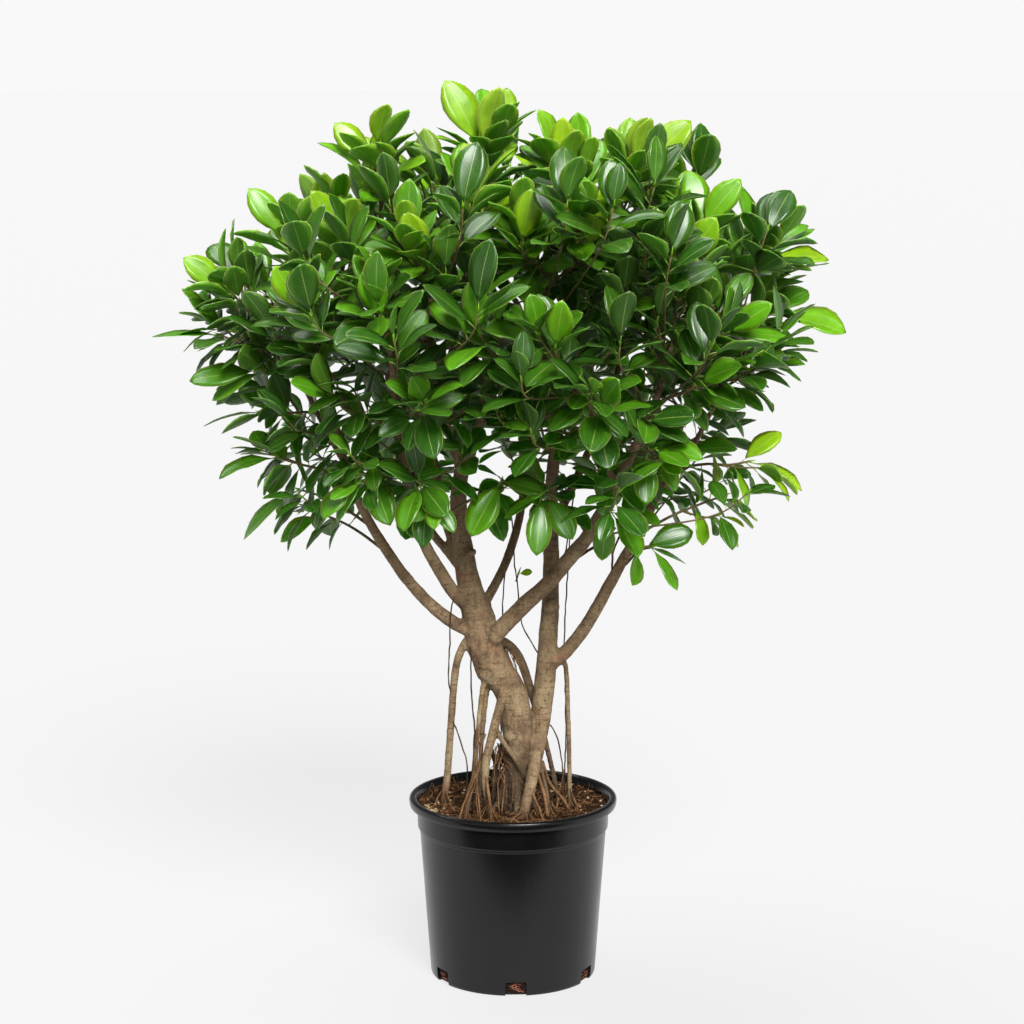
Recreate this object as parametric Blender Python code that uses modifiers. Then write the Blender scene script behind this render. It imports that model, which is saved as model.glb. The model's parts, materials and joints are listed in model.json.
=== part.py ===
"""A ficus in a black nursery pot: two trunks with aerial roots, their limbs, and a leafy crown.

Sizes are millimetres here and become metres as they reach Blender. The origin is the middle of the
pot's flat underside, +Z is up and the plant's front looks along -Y.
"""

import math
import random

import bmesh
import bpy
from mathutils import Matrix, Vector, geometry
from mathutils.bvhtree import BVHTree

MM = 0.001
GAP = 0.35

# The pot, whose outer lip is 240 mm across.
POT_HEIGHT = 210.0
LIP_RADIUS = 120.0
COLLAR_RADIUS = 110.6
COLLAR_FOOT = 172.0
BODY_RADIUS = 107.6
BASE_RADIUS = 95.2
WALL = 2.0
FLOOR = 2.5
POT_SIDES = 32
NOTCHES = 6
NOTCH_WIDTH = 24.0
NOTCH_HEIGHT = 17.0
NOTCH_TURN = 2.0

# The potting mix, level a little below the lip.
SOIL_TOP = 193.0
SOIL_BUMP = 1.6
STUB_FOOT = 174.0
HOLE_SIDES = 8

# Leaves: a stalk and a blade, widest past its middle.
LEAF_LENGTH = 74.0
LOW_LEAF_LENGTH = 58.0
LEAF_WIDTH = 0.5
BLADE = 0.8
LEAVES = 4
GOLDEN_TURN = math.radians(137.5)
LEAF_STEPS = (0.0, 4.0, 10.0, 18.0)
LEAF_SPREADS = (0.0, 40.0, 56.0, 72.0)
TWIG_RADIUS = 1.9
TWIG_TIP_RADIUS = 1.2
ROUTE_POINTS = 60
LEAST_REACH = 24.0
TRIES = 24
CLEARANCE = 0.9
CROWN_FOOT = Vector((-10.0, 0.0, 560.0))
CROWN_DEPTH = 0.88
BACK_STARTS = 60.0

# How far the crown reaches to the left and to the right at each height.
CROWN = (
    (440.0, -150.0, 190.0),
    (500.0, -285.0, 245.0),
    (530.0, -312.0, 320.0),
    (610.0, -338.0, 330.0),
    (700.0, -366.0, 330.0),
    (740.0, -409.0, 378.0),
    (820.0, -368.0, 360.0),
    (900.0, -318.0, 330.0),
    (940.0, -262.0, 252.0),
    (980.0, -205.0, 220.0),
    (1030.0, -100.0, 60.0),
)

# Routes of the wood: sides of the tube, then x, y, z and radius down its length. The first two
# are the trunks, and roots come before limbs. A route that stands in the soil starts there.
TRUNKS = {
    "left_trunk": (10, [
        (2, -8, STUB_FOOT, 15), (2, -8, 204, 14.5), (3, -7, 232, 13), (5, -6, 262, 16.5),
        (5, -6, 290, 17.5), (2, -6, 318, 17.5), (-6, -6, 340, 18), (-20, -6, 362, 18.5),
        (-32, -5, 385, 20), (-37, -3, 412, 19), (-45, 0, 438, 16), (-51, 2, 462, 13.6),
        (-56, 5, 492, 11.8), (-61, 7, 530, 9.9), (-62, 9, 560, 9.4), (-58, 10, 590, 8),
    ]),
    "right_trunk": (8, [
        (12, -38, STUB_FOOT, 5.8), (12, -38, 198, 5.8), (19, -30, 224, 6.4), (25, -17, 252, 7.6),
        (30, -4, 278, 9), (32, 4, 298, 11), (34, 8, 320, 12.2), (38, 11, 356, 11.6),
        (41, 14, 400, 10.6), (43, 18, 436, 9.8), (44, 21, 480, 9.2), (43, 24, 530, 8.6),
        (45, 24, 580, 7.2), (49, 20, 622, 5.8),
    ]),
    "neck": (8, [(-33, -5, 400, 18), (-30, -5, 374, 17.5), (-28, -5, 350, 12)]),
}
ROOTS = {
    "left_pillar": (6, [
        (-80, 14, STUB_FOOT, 4), (-80, 14, 200, 4), (-76, 10, 232, 4.2), (-72, 7, 285, 4.1),
        (-68, 3, 340, 4.2), (-63, -2, 372, 4.4), (-52, -4, 394, 4.8), (-38, -4, 404, 5.2),
    ]),
    "front_root": (6, [
        (-28, -30, STUB_FOOT, 3.4), (-28, -30, 200, 3.4), (-32, -29, 232, 4.2),
        (-30, -29, 262, 4.9), (-21, -27, 298, 5.2), (-13, -23, 330, 5), (-8, -14, 356, 5),
    ]),
    "left_root": (4, [
        (-52, -27, STUB_FOOT, 2.4), (-52, -27, 200, 2.4), (-45, -25, 238, 2.6),
        (-40, -19, 292, 2.8), (-34, -13, 342, 3.2), (-28, -8, 356, 3.2),
    ]),
    "middle_root": (4, [
        (-39, 4, STUB_FOOT, 2.4), (-39, 4, 200, 2.4), (-37, 3, 260, 2.7), (-32, -3, 318, 3),
        (-27, -5, 356, 3.2),
    ]),
    "strut_root": (4, [
        (25, -8, STUB_FOOT, 2.2), (25, -8, 199, 2.2), (15, -17, 232, 2.7), (2, -26, 260, 3),
        (-11, -29, 280, 3), (-20, -27, 296, 3),
    ]),
    "right_pillar": (6, [
        (66, 14, STUB_FOOT, 2.8), (66, 14, 200, 2.8), (65, 14, 262, 2.7), (63, 14, 320, 2.7),
        (60, 13, 362, 3), (48, 12, 380, 3.6),
    ]),
    "back_root": (4, [
        (52, 30, STUB_FOOT, 2.8), (52, 30, 200, 2.8), (44, 20, 242, 3), (34, 6, 286, 3.4),
    ]),
    "right_root": (4, [
        (42, -22, STUB_FOOT, 2.2), (42, -22, 199, 2.2), (36, -18, 232, 2.4), (27, -10, 266, 2.8),
    ]),
    "brace": (6, [
        (-24, 2, 396, 5.4), (-4, 12, 384, 5.4), (9, 20, 364, 5.2), (18, 22, 338, 4.9),
        (26, 16, 312, 4.5), (32, 8, 298, 4.4),
    ]),
}
LIMBS = {
    "low_left": (6, [
        (-38, -4, 402, 8), (-62, -8, 412, 7.6), (-90, -14, 434, 7), (-118, -22, 466, 6.4),
        (-142, -32, 503, 5.8), (-163, -44, 542, 5.2), (-182, -56, 590, 4.6), (-196, -60, 650, 3.8),
        (-214, -40, 728, 3),
    ]),
    "outer_left": (4, [
        (-186, -58, 604, 3.4), (-208, -38, 640, 3.2), (-232, -14, 682, 2.9), (-262, 4, 740, 2.5),
    ]),
    "front_left": (6, [
        (-42, 0, 424, 8), (-66, -10, 449, 7.4), (-84, -22, 480, 7), (-100, -42, 515, 6.4),
        (-112, -68, 560, 5.6), (-121, -100, 620, 4.8), (-128, -126, 690, 3.8),
        (-134, -130, 752, 2.9),
    ]),
    "back_left": (6, [
        (-55, 4, 470, 5.4), (-75, 14, 494, 5), (-94, 30, 515, 4.6), (-110, 58, 548, 4.4),
        (-124, 96, 596, 4), (-142, 130, 655, 3.6), (-158, 150, 730, 2.8),
    ]),
    "upper_left": (6, [
        (-59, 6, 486, 6), (-72, 20, 512, 5.6), (-82, 44, 548, 5), (-94, 66, 604, 4.4),
        (-112, 74, 680, 3.8), (-136, 66, 760, 3.2), (-150, 50, 826, 2.6),
    ]),
    "back_rise": (4, [
        (-94, 66, 602, 3.6), (-86, 108, 654, 3.3), (-72, 144, 712, 3), (-62, 160, 776, 2.6),
    ]),
    "left_lead": (6, [
        (-58, 10, 582, 6.6), (-64, -2, 612, 6), (-76, -24, 650, 5.2), (-88, -46, 700, 4.4),
        (-92, -72, 760, 3.4), (-88, -80, 806, 2.8),
    ]),
    "right_lead": (6, [
        (-58, 10, 582, 6.8), (-47, 4, 612, 6.2), (-36, -6, 650, 5.4), (-30, -14, 710, 4.6),
        (-32, -10, 790, 3.6), (-36, -2, 868, 2.8),
    ]),
    "middle_back": (6, [
        (-38, 4, 426, 5.8), (-20, 18, 455, 5.2), (-5, 34, 486, 5), (8, 58, 528, 4.6),
        (14, 86, 578, 4), (18, 120, 640, 3.8), (22, 150, 712, 3.2), (18, 158, 786, 2.6),
    ]),
    "crossing": (8, [
        (-26, -14, 396, 10), (-9, -26, 417, 9.6), (13, -32, 441, 9.2), (38, -36, 465, 8.8),
        (61, -40, 493, 8.4), (83, -47, 521, 7.8), (99, -60, 552, 7), (113, -74, 584, 6.2),
        (134, -92, 630, 5), (156, -104, 684, 4), (172, -104, 742, 3),
    ]),
    "front_right": (4, [
        (113, -74, 582, 4), (100, -100, 622, 3.6), (82, -124, 664, 3.2), (64, -134, 712, 2.6),
    ]),
    "middle_lead": (6, [
        (49, 20, 612, 5.4), (43, 2, 652, 5), (34, -22, 698, 4.4), (30, -44, 750, 3.6),
        (36, -54, 812, 2.8),
    ]),
    "right_rise": (6, [
        (49, 20, 612, 5.2), (58, 36, 656, 4.8), (74, 40, 710, 4.2), (92, 30, 776, 3.4),
        (108, 18, 846, 2.8),
    ]),
    "back_right": (6, [
        (44, 22, 520, 5.4), (64, 46, 554, 5), (88, 80, 600, 4.4), (114, 112, 660, 3.8),
        (134, 130, 730, 2.9),
    ]),
    "low_right": (6, [
        (44, 12, 362, 8), (65, 6, 383, 7.6), (86, -2, 414, 7.2), (107, -8, 454, 6.6),
        (127, -14, 493, 6), (145, -14, 524, 5.4), (164, -6, 566, 4.8), (187, 6, 630, 4),
        (206, 12, 694, 3.4), (226, 10, 760, 2.7),
    ]),
    "outer_right": (4, [
        (161, -8, 560, 3.6), (188, -18, 594, 3.2), (212, -26, 640, 2.9), (236, -30, 692, 2.5),
    ]),
}

# Leafy shoots: where each ends, and where its leading leaf points from there, with its length.
SHOOTS = (
    # The outline seen from the front.
    ((-35, 0, 950), (-40, 0, 77)),
    ((-155, 15, 930), (-44, 5, 50)),
    ((-250, 0, 850), (-44, -5, 58)),
    ((-318, 0, 795), (-50, -10, 36)),
    ((-330, 15, 742), (-79, 0, -3)),
    ((-190, -40, 850), (-30, -20, 58)),
    ((55, 5, 925), (0, -10, 62)),
    ((137, 0, 917), (60, 0, 66)),
    ((207, -25, 862), (42, -10, 58)),
    ((286, 0, 830), (68, 0, 4)),
    ((292, 20, 765), (85, 0, -22)),
    ((268, -20, 706), (58, -10, 9)),
    ((267, 0, 600), (65, 0, -26)),
    ((238, -30, 566), (78, 0, -40)),
    ((155, -32, 508), (30, -14, -48)),
    ((-283, 0, 656), (-69, 0, -10)),
    ((-282, -20, 706), (-80, -5, -12)),
    ((-262, -45, 612), (-66, -16, -20)),
    ((-243, 0, 568), (-68, 0, -54)),
    ((-218, 20, 536), (-50, 10, -34)),
    # The front.
    ((-35, -70, 895), (-14, -18, 66)),
    ((-96, -120, 830), (-18, -26, 60)),
    ((-225, -115, 782), (-30, -28, 50)),
    ((-136, -165, 775), (-20, -34, 56)),
    ((10, -110, 850), (10, -22, 64)),
    ((84, -105, 852), (18, -22, 64)),
    ((184, -95, 826), (34, -24, 56)),
    ((230, -105, 755), (46, -34, 36)),
    ((45, -190, 748), (6, -40, 54)),
    ((-35, -195, 765), (-6, -38, 56)),
    ((92, -215, 690), (18, -52, 36)),
    ((150, -178, 640), (34, -44, -14)),
    ((198, -140, 705), (42, -42, 26)),
    ((108, -110, 560), (26, -44, -44)),
    ((30, -120, 582), (-4, -30, -62)),
    ((-12, -100, 596), (-34, -26, -60)),
    ((-100, -160, 600), (-16, -50, -42)),
    ((-166, -130, 605), (-40, -44, -36)),
    ((-92, -205, 694), (-12, -52, 32)),
    ((-194, -140, 690), (-42, -42, 22)),
    # The back.
    ((-212, 105, 862), (-34, 22, 56)),
    ((-92, 125, 905), (-12, 20, 66)),
    ((55, 128, 905), (10, 20, 66)),
    ((165, 105, 872), (28, 20, 60)),
    ((262, 110, 795), (44, 26, 44)),
    ((-285, 120, 780), (-46, 30, 40)),
    ((-125, 212, 820), (-14, 34, 58)),
    ((15, 225, 838), (4, 34, 60)),
    ((150, 210, 800), (24, 36, 52)),
    ((-222, 200, 722), (-38, 42, 32)),
    ((-68, 275, 742), (-8, 48, 40)),
    ((92, 272, 732), (14, 48, 38)),
    ((228, 190, 690), (46, 42, 16)),
    ((-140, 228, 632), (-26, 56, -28)),
    ((18, 240, 640), (4, 62, -28)),
    ((150, 205, 602), (30, 50, -34)),
    ((-245, 110, 622), (-56, 28, -24)),
)


def material(name, colour, roughness):
    """A Principled material from linear red, green and blue."""
    found = bpy.data.materials.new(name)
    found.use_nodes = True
    shader = found.node_tree.nodes["Principled BSDF"]
    shader.inputs["Base Color"].default_value = (*colour, 1.0)
    shader.inputs["Roughness"].default_value = roughness
    shader.inputs["Metallic"].default_value = 0.0
    found.diffuse_color = (*colour, 1.0)
    return found


def add(name, mesh, group):
    """A new object for the mesh, in a collection."""
    made = bpy.data.objects.new(name, mesh)
    group.objects.link(made)
    return made


def finished_mesh(source):
    """The object's mesh with its modifiers applied."""
    graph = bpy.context.evaluated_depsgraph_get()
    return bpy.data.meshes.new_from_object(source.evaluated_get(graph))


def weld(mesh):
    """Joins the loose caps of a tube to its wall."""
    work = bmesh.new()
    work.from_mesh(mesh)
    bmesh.ops.remove_doubles(work, verts=work.verts, dist=1e-6)
    work.to_mesh(mesh)
    work.free()


def fuse(body, others, group):
    """Joins closed meshes to the object's own by one Boolean union, and removes them."""
    modifier = body.modifiers.new("join", "BOOLEAN")
    modifier.operation = "UNION"
    modifier.operand_type = "COLLECTION"
    modifier.collection = group
    modifier.solver = "MANIFOLD"
    mesh = finished_mesh(body)
    body.modifiers.clear()
    body.data = mesh
    for other in others:
        bpy.data.objects.remove(other)


def tube_mesh(route, sides):
    """A closed tube through points with radii, with flat ends."""
    curve = bpy.data.curves.new("tube", "CURVE")
    curve.dimensions = "3D"
    curve.twist_mode = "MINIMUM"
    curve.bevel_depth = MM
    curve.use_fill_caps = True
    curve.bevel_resolution = (sides - 4) // 2
    line = curve.splines.new("POLY")
    line.points.add(len(route) - 1)
    for spot, (x, y, z, radius) in zip(line.points, route):
        spot.co = (x * MM, y * MM, z * MM, 1.0)
        spot.radius = radius
    guide = add("guide", curve, helpers)
    mesh = finished_mesh(guide)
    weld(mesh)
    bpy.data.objects.remove(guide)
    return mesh


def turned(name, profile):
    """A turned solid from a profile that runs down its outer side, from axis to axis."""
    work = bmesh.new()
    spots = [work.verts.new((radius * MM, 0.0, z * MM)) for radius, z in profile]
    for first, second in zip(spots, spots[1:]):
        work.edges.new((first, second))
    mesh = bpy.data.meshes.new(name)
    work.to_mesh(mesh)
    work.free()
    made = add(name, mesh, parts)
    screw = made.modifiers.new("turn", "SCREW")
    screw.steps = POT_SIDES
    screw.render_steps = POT_SIDES
    screw.use_merge_vertices = True
    screw.merge_threshold = 1e-5
    made.data = finished_mesh(made)
    made.modifiers.clear()
    return made


def cut(body, cutters):
    """Cuts closed shapes out of the object."""
    group = bpy.data.collections.new("cut from " + body.name)
    helpers.children.link(group)
    for cutter in cutters:
        for owner in cutter.users_collection:
            owner.objects.unlink(cutter)
        group.objects.link(cutter)
        cutter.hide_render = True
        cutter.display_type = "WIRE"
    modifier = body.modifiers.new("holes", "BOOLEAN")
    modifier.operation = "DIFFERENCE"
    modifier.operand_type = "COLLECTION"
    modifier.collection = group


def inner_wall(z):
    """The pot's inner radius at a height."""
    if z < COLLAR_FOOT:
        return BASE_RADIUS - WALL + (BODY_RADIUS - BASE_RADIUS) * z / COLLAR_FOOT
    return COLLAR_RADIUS - WALL - 0.7 + 0.03 * (z - COLLAR_FOOT)


def pot():
    """The moulded pot: floor, wall, collar and rolled lip, with drainage notches at its foot."""
    made = turned("pot", [
        (0.0, FLOOR),
        (inner_wall(FLOOR), FLOOR),
        (inner_wall(COLLAR_FOOT - 1.0), COLLAR_FOOT - 1.0),
        (inner_wall(COLLAR_FOOT + 4.0), COLLAR_FOOT + 4.0),
        (inner_wall(POT_HEIGHT - 6.0), POT_HEIGHT - 6.0),
        (LIP_RADIUS - 7.0, POT_HEIGHT),
        (LIP_RADIUS - 2.5, POT_HEIGHT),
        (LIP_RADIUS, POT_HEIGHT - 4.0),
        (LIP_RADIUS - 1.5, POT_HEIGHT - 10.5),
        (COLLAR_RADIUS + 0.3, POT_HEIGHT - 11.5),
        (COLLAR_RADIUS - 0.4, COLLAR_FOOT + 3.5),
        (BODY_RADIUS, COLLAR_FOOT),
        (BASE_RADIUS, 2.0),
        (BASE_RADIUS - 2.0, 0.0),
        (0.0, 0.0),
    ])
    made.data.materials.append(material("black nursery plastic", (0.016, 0.017, 0.018), 0.42))
    cutters = []
    for k in range(NOTCHES):
        turn = math.radians(NOTCH_TURN - 90.0) + math.tau * k / NOTCHES
        bpy.ops.mesh.primitive_cube_add(size=1.0)
        cutter = bpy.context.object
        cutter.name = f"notch_{k + 1}"
        size = Vector((14.0, NOTCH_WIDTH, 2.0 * NOTCH_HEIGHT)) * MM
        cutter.data.transform(Matrix.Diagonal((*size, 1.0)))
        cutter.location = Vector((math.cos(turn), math.sin(turn), 0.0)) * BASE_RADIUS * MM
        cutter.rotation_euler.z = turn
        cutters.append(cutter)
    cut(made, cutters)


def soil():
    """The potting mix: it fills the pot to an uneven top, with a hole for each stub of wood."""
    edge = SOIL_TOP - 1.5
    made = turned("soil", [
        (0.0, SOIL_TOP),
        (62.0, SOIL_TOP),
        (inner_wall(edge) - GAP, edge),
        (inner_wall(COLLAR_FOOT - 1.0) - GAP, COLLAR_FOOT - 1.5),
        (inner_wall(FLOOR) - GAP, FLOOR + GAP),
        (0.0, FLOOR + GAP),
    ])
    for spot in made.data.vertices:
        x, y, z = spot.co / MM
        if z > SOIL_TOP - 0.1:
            wave = math.sin(x / 15.0 + 1.0) + math.cos(y / 13.0) + math.sin((x - y) / 24.0)
            spot.co.z += SOIL_BUMP * wave / 2.0 * MM
    made.data.materials.append(material("potting mix", (0.045, 0.026, 0.016), 0.95))
    cutters = []
    for _, route in {**TRUNKS, **ROOTS}.values():
        x, y, z, radius = route[0]
        if z > STUB_FOOT:
            continue
        reach = (radius + GAP) / math.cos(math.pi / HOLE_SIDES)
        hole = [(x, y, z - GAP, reach), (x, y, SOIL_TOP + 12.0, reach)]
        cutters.append(add("hole", tube_mesh(hole, HOLE_SIDES), helpers))
    cut(made, cutters)


def wood_tubes():
    """Every route of the wood as a tube mesh of its own."""
    return {
        name: tube_mesh(route, sides)
        for name, (sides, route) in {**TRUNKS, **ROOTS, **LIMBS}.items()
    }


def wood(tubes):
    """Trunks, roots and limbs, which grew as one piece."""
    made = add("wood", tubes["left_trunk"].copy(), parts)
    group = bpy.data.collections.new("grown together")
    helpers.children.link(group)
    others = [add(name, mesh.copy(), group) for name, mesh in tubes.items() if name != "left_trunk"]
    fuse(made, others, group)
    made.data.materials.clear()
    made.data.materials.append(material("fig bark", (0.23, 0.165, 0.105), 0.85))
    made.data.shade_smooth()
    made.data.set_sharp_from_angle(angle=math.radians(50.0))


def as_tree(mesh):
    """A search tree for the surface of a closed mesh."""
    mesh.calc_loop_triangles()
    spots = [spot.co.copy() for spot in mesh.vertices]
    faces = [tuple(face.vertices) for face in mesh.loop_triangles]
    return BVHTree.FromPolygons(spots, faces), box_of(spots)


def box_of(spots):
    """The lowest and the highest corner of some points."""
    low = Vector([min(spot[k] for spot in spots) for k in range(3)])
    high = Vector([max(spot[k] for spot in spots) for k in range(3)])
    return low, high


def around(place, reach):
    """The box that reaches so far, in millimetres, on every side of a place."""
    margin = Vector((reach, reach, reach))
    return (place - margin) * MM, (place + margin) * MM


def apart(first, second):
    """True if two boxes don't meet."""
    return any(first[1][k] < second[0][k] or second[1][k] < first[0][k] for k in range(3))


def crosses(found, others):
    """True if a surface crosses any of the others."""
    tree, box = found
    return any(not apart(box, their_box) and tree.overlap(their) for their, their_box in others)


def along(route):
    """Points about 8 mm apart on a limb, each with its direction and radius."""
    for first, second in zip(route, route[1:]):
        start = Vector(first[:3])
        way = Vector(second[:3]) - start
        count = max(1, round(way.length / 8.0))
        for k in range(count):
            share = k / count
            radius = first[3] + (second[3] - first[3]) * share
            yield start + way * share, way.normalized(), radius


def bearers():
    """The places on the limbs that a shoot can grow from."""
    found = []
    for _, route in LIMBS.values():
        spots = list(along(route))
        found += spots[len(spots) // 3 :]
        found.append((Vector(route[-1][:3]), spots[-1][1], route[-1][3]))
    return found


def best_bearers(end, places, used):
    """The places for a shoot's foot, the best first: near, in line with the limb, and free."""
    ranked = []
    for order, (place, way, _) in enumerate(places):
        reach = end - place
        length = reach.length
        if length < 40.0:
            continue
        cost = length * (1.7 - reach.dot(way) / length)
        cost += 90.0 * max(0.0, -0.1 - reach.z / length)
        cost += sum(40.0 for other in used if (other - place).length < 14.0)
        ranked.append((cost, order))
    return [places[order] for _, order in sorted(ranked)]


def outside(spot, tree):
    """How far a point, in millimetres, is outside a closed surface: below zero inside it."""
    near, normal, _, distance = tree.find_nearest(spot * MM)
    return math.copysign(distance / MM, (spot * MM - near).dot(normal))


def frame_at(way):
    """Two directions square to a way and to each other."""
    side = way.orthogonal().normalized()
    return side, way.cross(side).normalized()


def twig_route(bearer, end, lead, trees):
    """A smooth twig from just off the limb's surface to the shoot's end."""
    place, way, _ = bearer
    reach = (end - place).length
    leaving = (way * 0.5 + (end - place).normalized()).normalized()
    bend = (Vector(lead).normalized() + Vector((0.0, 0.0, 0.8))).normalized()
    points = geometry.interpolate_bezier(
        place, place + leaving * reach * 0.4, end - bend * reach * 0.3, end, ROUTE_POINTS
    )
    near = [tree for tree, box in trees if not apart(box, around(place, 12.0))]
    for k in range(ROUTE_POINTS - 10):
        direction = (points[k + 1] - points[k]).normalized()
        side, other = frame_at(direction)
        corners = [
            points[k] + (side * math.cos(turn) + other * math.sin(turn)) * (TWIG_RADIUS + 0.1)
            for turn in (0.0, 1.05, 2.09, 3.14, 4.19, 5.24)
        ]
        if all(outside(corner, tree) > GAP for tree in near for corner in corners):
            return points[k:]
    return points[-10:]


def thinned(points):
    """Four of the points, evenly, with both ends."""
    last = len(points) - 1
    return [points[round(last * k / 3)] for k in range(4)]


def tapered(points):
    """Twig points with their radii."""
    last = len(points) - 1
    return [
        (*point, TWIG_RADIUS + (TWIG_TIP_RADIUS - TWIG_RADIUS) * k / last)
        for k, point in enumerate(points)
    ]


def crown_side(z, side):
    """How far the crown reaches at a height, to the left (1) or to the right (2)."""
    for lower, upper in zip(CROWN, CROWN[1:]):
        if lower[0] <= z <= upper[0]:
            share = (z - lower[0]) / (upper[0] - lower[0])
            return abs(lower[side] + (upper[side] - lower[side]) * share)
    return 0.0


def in_crown(spot):
    """True if a leaf's tip lies within the crown."""
    reach = crown_side(spot.z, 1 if spot.x < 0.0 else 2)
    if not reach:
        return False
    return (spot.x / reach) ** 2 + (spot.y / (reach * CROWN_DEPTH)) ** 2 <= 1.0


def leaf_points(base, way, normal, length):
    """The blade's middle, then its outline: foot, right edge, tip and left edge."""
    across = way.cross(normal).normalized()
    half = length * LEAF_WIDTH / 2.0
    shape = (
        (0.58, 0.0, 0.045),
        (0.0, 0.0, 0.0),
        (0.17, 0.11, 0.004),
        (0.52, 0.98, 0.07),
        (0.82, 0.74, 0.045),
        (1.0, 0.0, -0.02),
        (0.82, -0.74, 0.045),
        (0.52, -0.98, 0.07),
        (0.17, -0.11, 0.004),
    )
    return [
        base + way * (length * x) + across * (half * y) + normal * (length * z)
        for x, y, z in shape
    ]


def blade_faces():
    """A fan around the blade's middle."""
    return [(0, k, k % 8 + 1) for k in range(1, 9)]


def blade_shell(spots, normal):
    """A closed and slightly swollen blade, to test what it would cross."""
    middle = spots[0]
    grown = [spot + (spot - middle).normalized() * CLEARANCE * 0.7 for spot in spots]
    shift = normal * (BLADE + CLEARANCE) / 2.0
    corners = [(spot + shift) * MM for spot in grown]
    corners += [(spot - shift) * MM for spot in grown]
    faces = blade_faces()
    faces += [(a + 9, c + 9, b + 9) for a, b, c in blade_faces()]
    for k in range(1, 9):
        after = k % 8 + 1
        faces += [(k, k + 9, after), (after, k + 9, after + 9)]
    return BVHTree.FromPolygons(corners, faces), box_of(corners)


def leaf_length(z, chance):
    """Leaves are longer in the upper crown."""
    share = min(1.0, max(0.0, (z - 560.0) / 240.0))
    mean = LOW_LEAF_LENGTH + (LEAF_LENGTH - LOW_LEAF_LENGTH) * share
    return mean * chance.uniform(0.86, 1.08)


def leaf_stance(end, axis, order, turn, chance):
    """Where a leaf points and which way its upper face looks."""
    side, other = frame_at(axis)
    angle = turn + order * GOLDEN_TURN + chance.uniform(-0.3, 0.3)
    radial = side * math.cos(angle) + other * math.sin(angle)
    low = min(1.0, max(0.0, (800.0 - end.z) / 260.0))
    lean = (LEAF_SPREADS[order] + chance.uniform(-9.0, 9.0)) * (0.78 + 0.22 * low)
    spread = math.radians(lean)
    way = axis * math.cos(spread) + radial * math.sin(spread)
    way = (way + Vector((0.0, 0.0, 0.1 - 0.75 * low))).normalized()
    outward = (end - CROWN_FOOT).normalized()
    face = axis * 0.8 + outward * 0.15 + Vector((0.0, 0.0, 0.8))
    face = (face - way * face.dot(way)).normalized()
    across = way.cross(face)
    roll = chance.uniform(-0.45, 0.45)
    return way, (face * math.cos(roll) + across * math.sin(roll)).normalized()


def lead_stance(lead, end, chance):
    """The leading leaf points where the shoot's list says, and looks up and outward.

    An upright one turns its broad side to the front or, behind the trunks, to the back.
    """
    way = Vector(lead).normalized()
    outward = (end - CROWN_FOOT).normalized()
    side = -1.0 if end.y < BACK_STARTS else 1.0
    face = outward * 0.6 + Vector((0.0, side * (0.25 + 0.9 * max(0.0, way.z)), 0.5))
    face += way.orthogonal() * chance.uniform(-0.3, 0.3)
    if abs(face.normalized().dot(way)) > 0.9:
        face = Vector((0.0, -1.0, 0.3))
    return way, (face - way * face.dot(way)).normalized()


def grow_leaves(number, points, lead, others, wooden):
    """The leaves of one shoot: where each starts, points and looks, and its length."""
    chance = random.Random(9000 + number)
    end = points[-1]
    axis = (points[-1] - points[-2]).normalized()
    turn = chance.uniform(0.0, math.tau)
    grown = []
    own = []
    for order in range(LEAVES):
        base = point_before_end(points, LEAF_STEPS[order])
        for attempt in range(TRIES):
            if order == 0:
                way, face = lead_stance(lead, end, chance)
                length = Vector(lead).length
            else:
                way, face = leaf_stance(end, axis, order, turn + attempt * 0.5, chance)
                length = leaf_length(end.z, chance) * (1.0 - 0.012 * attempt)
            tip = base + way * length
            if order and not in_crown(tip):
                continue
            spots = leaf_points(base, way, face, length)
            shell = blade_shell(spots, face)
            if crosses(shell, others) or crosses(shell, wooden):
                continue
            trimmed = leaf_points(base + way * 4.0, way, face, length - 4.0)
            if crosses(blade_shell(trimmed, face), own):
                continue
            grown.append((base, way, face, length))
            own.append(shell)
            break
    return grown, own


def point_before_end(points, distance):
    """The place on a route at a distance before its end."""
    left = distance
    for later, earlier in zip(points[::-1], points[-2::-1]):
        step = (earlier - later).length
        if step >= left:
            return later + (earlier - later) * (left / step)
        left -= step
    return points[0].copy()


def place_twigs(trees):
    """A route for the twig of every shoot, clear of the wood and of the other twigs."""
    places = bearers()
    used = []
    routes = []
    surfaces = []
    for number, (end, lead) in enumerate(SHOOTS):
        end = Vector(end)
        chosen = None
        for bearer in best_bearers(end, places, used)[:60]:
            points = twig_route(bearer, end, lead, trees)
            if (points[0] - end).length < LEAST_REACH:
                continue
            points = thinned(points)
            fat = [(*spot[:3], spot[3] + 0.5) for spot in tapered(points)]
            surface = as_tree(tube_mesh(fat, 6))
            if crosses(surface, trees) or crosses(surface, surfaces):
                continue
            chosen = bearer
            break
        if chosen is None:
            raise ValueError(f"shoot {number + 1} finds no free place on a limb")
        used.append(chosen[0])
        routes.append(points)
        surfaces.append(surface)
    return routes, surfaces


def blade_mesh(leaf):
    """The open surface of one leaf, its foot a little past the twig's middle."""
    base, way, face, length = leaf
    spots = leaf_points(base - way * 0.9, way, face, length + 0.9)
    mesh = bpy.data.meshes.new("leaf")
    mesh.from_pydata([spot * MM for spot in spots], [], blade_faces())
    return mesh


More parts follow.
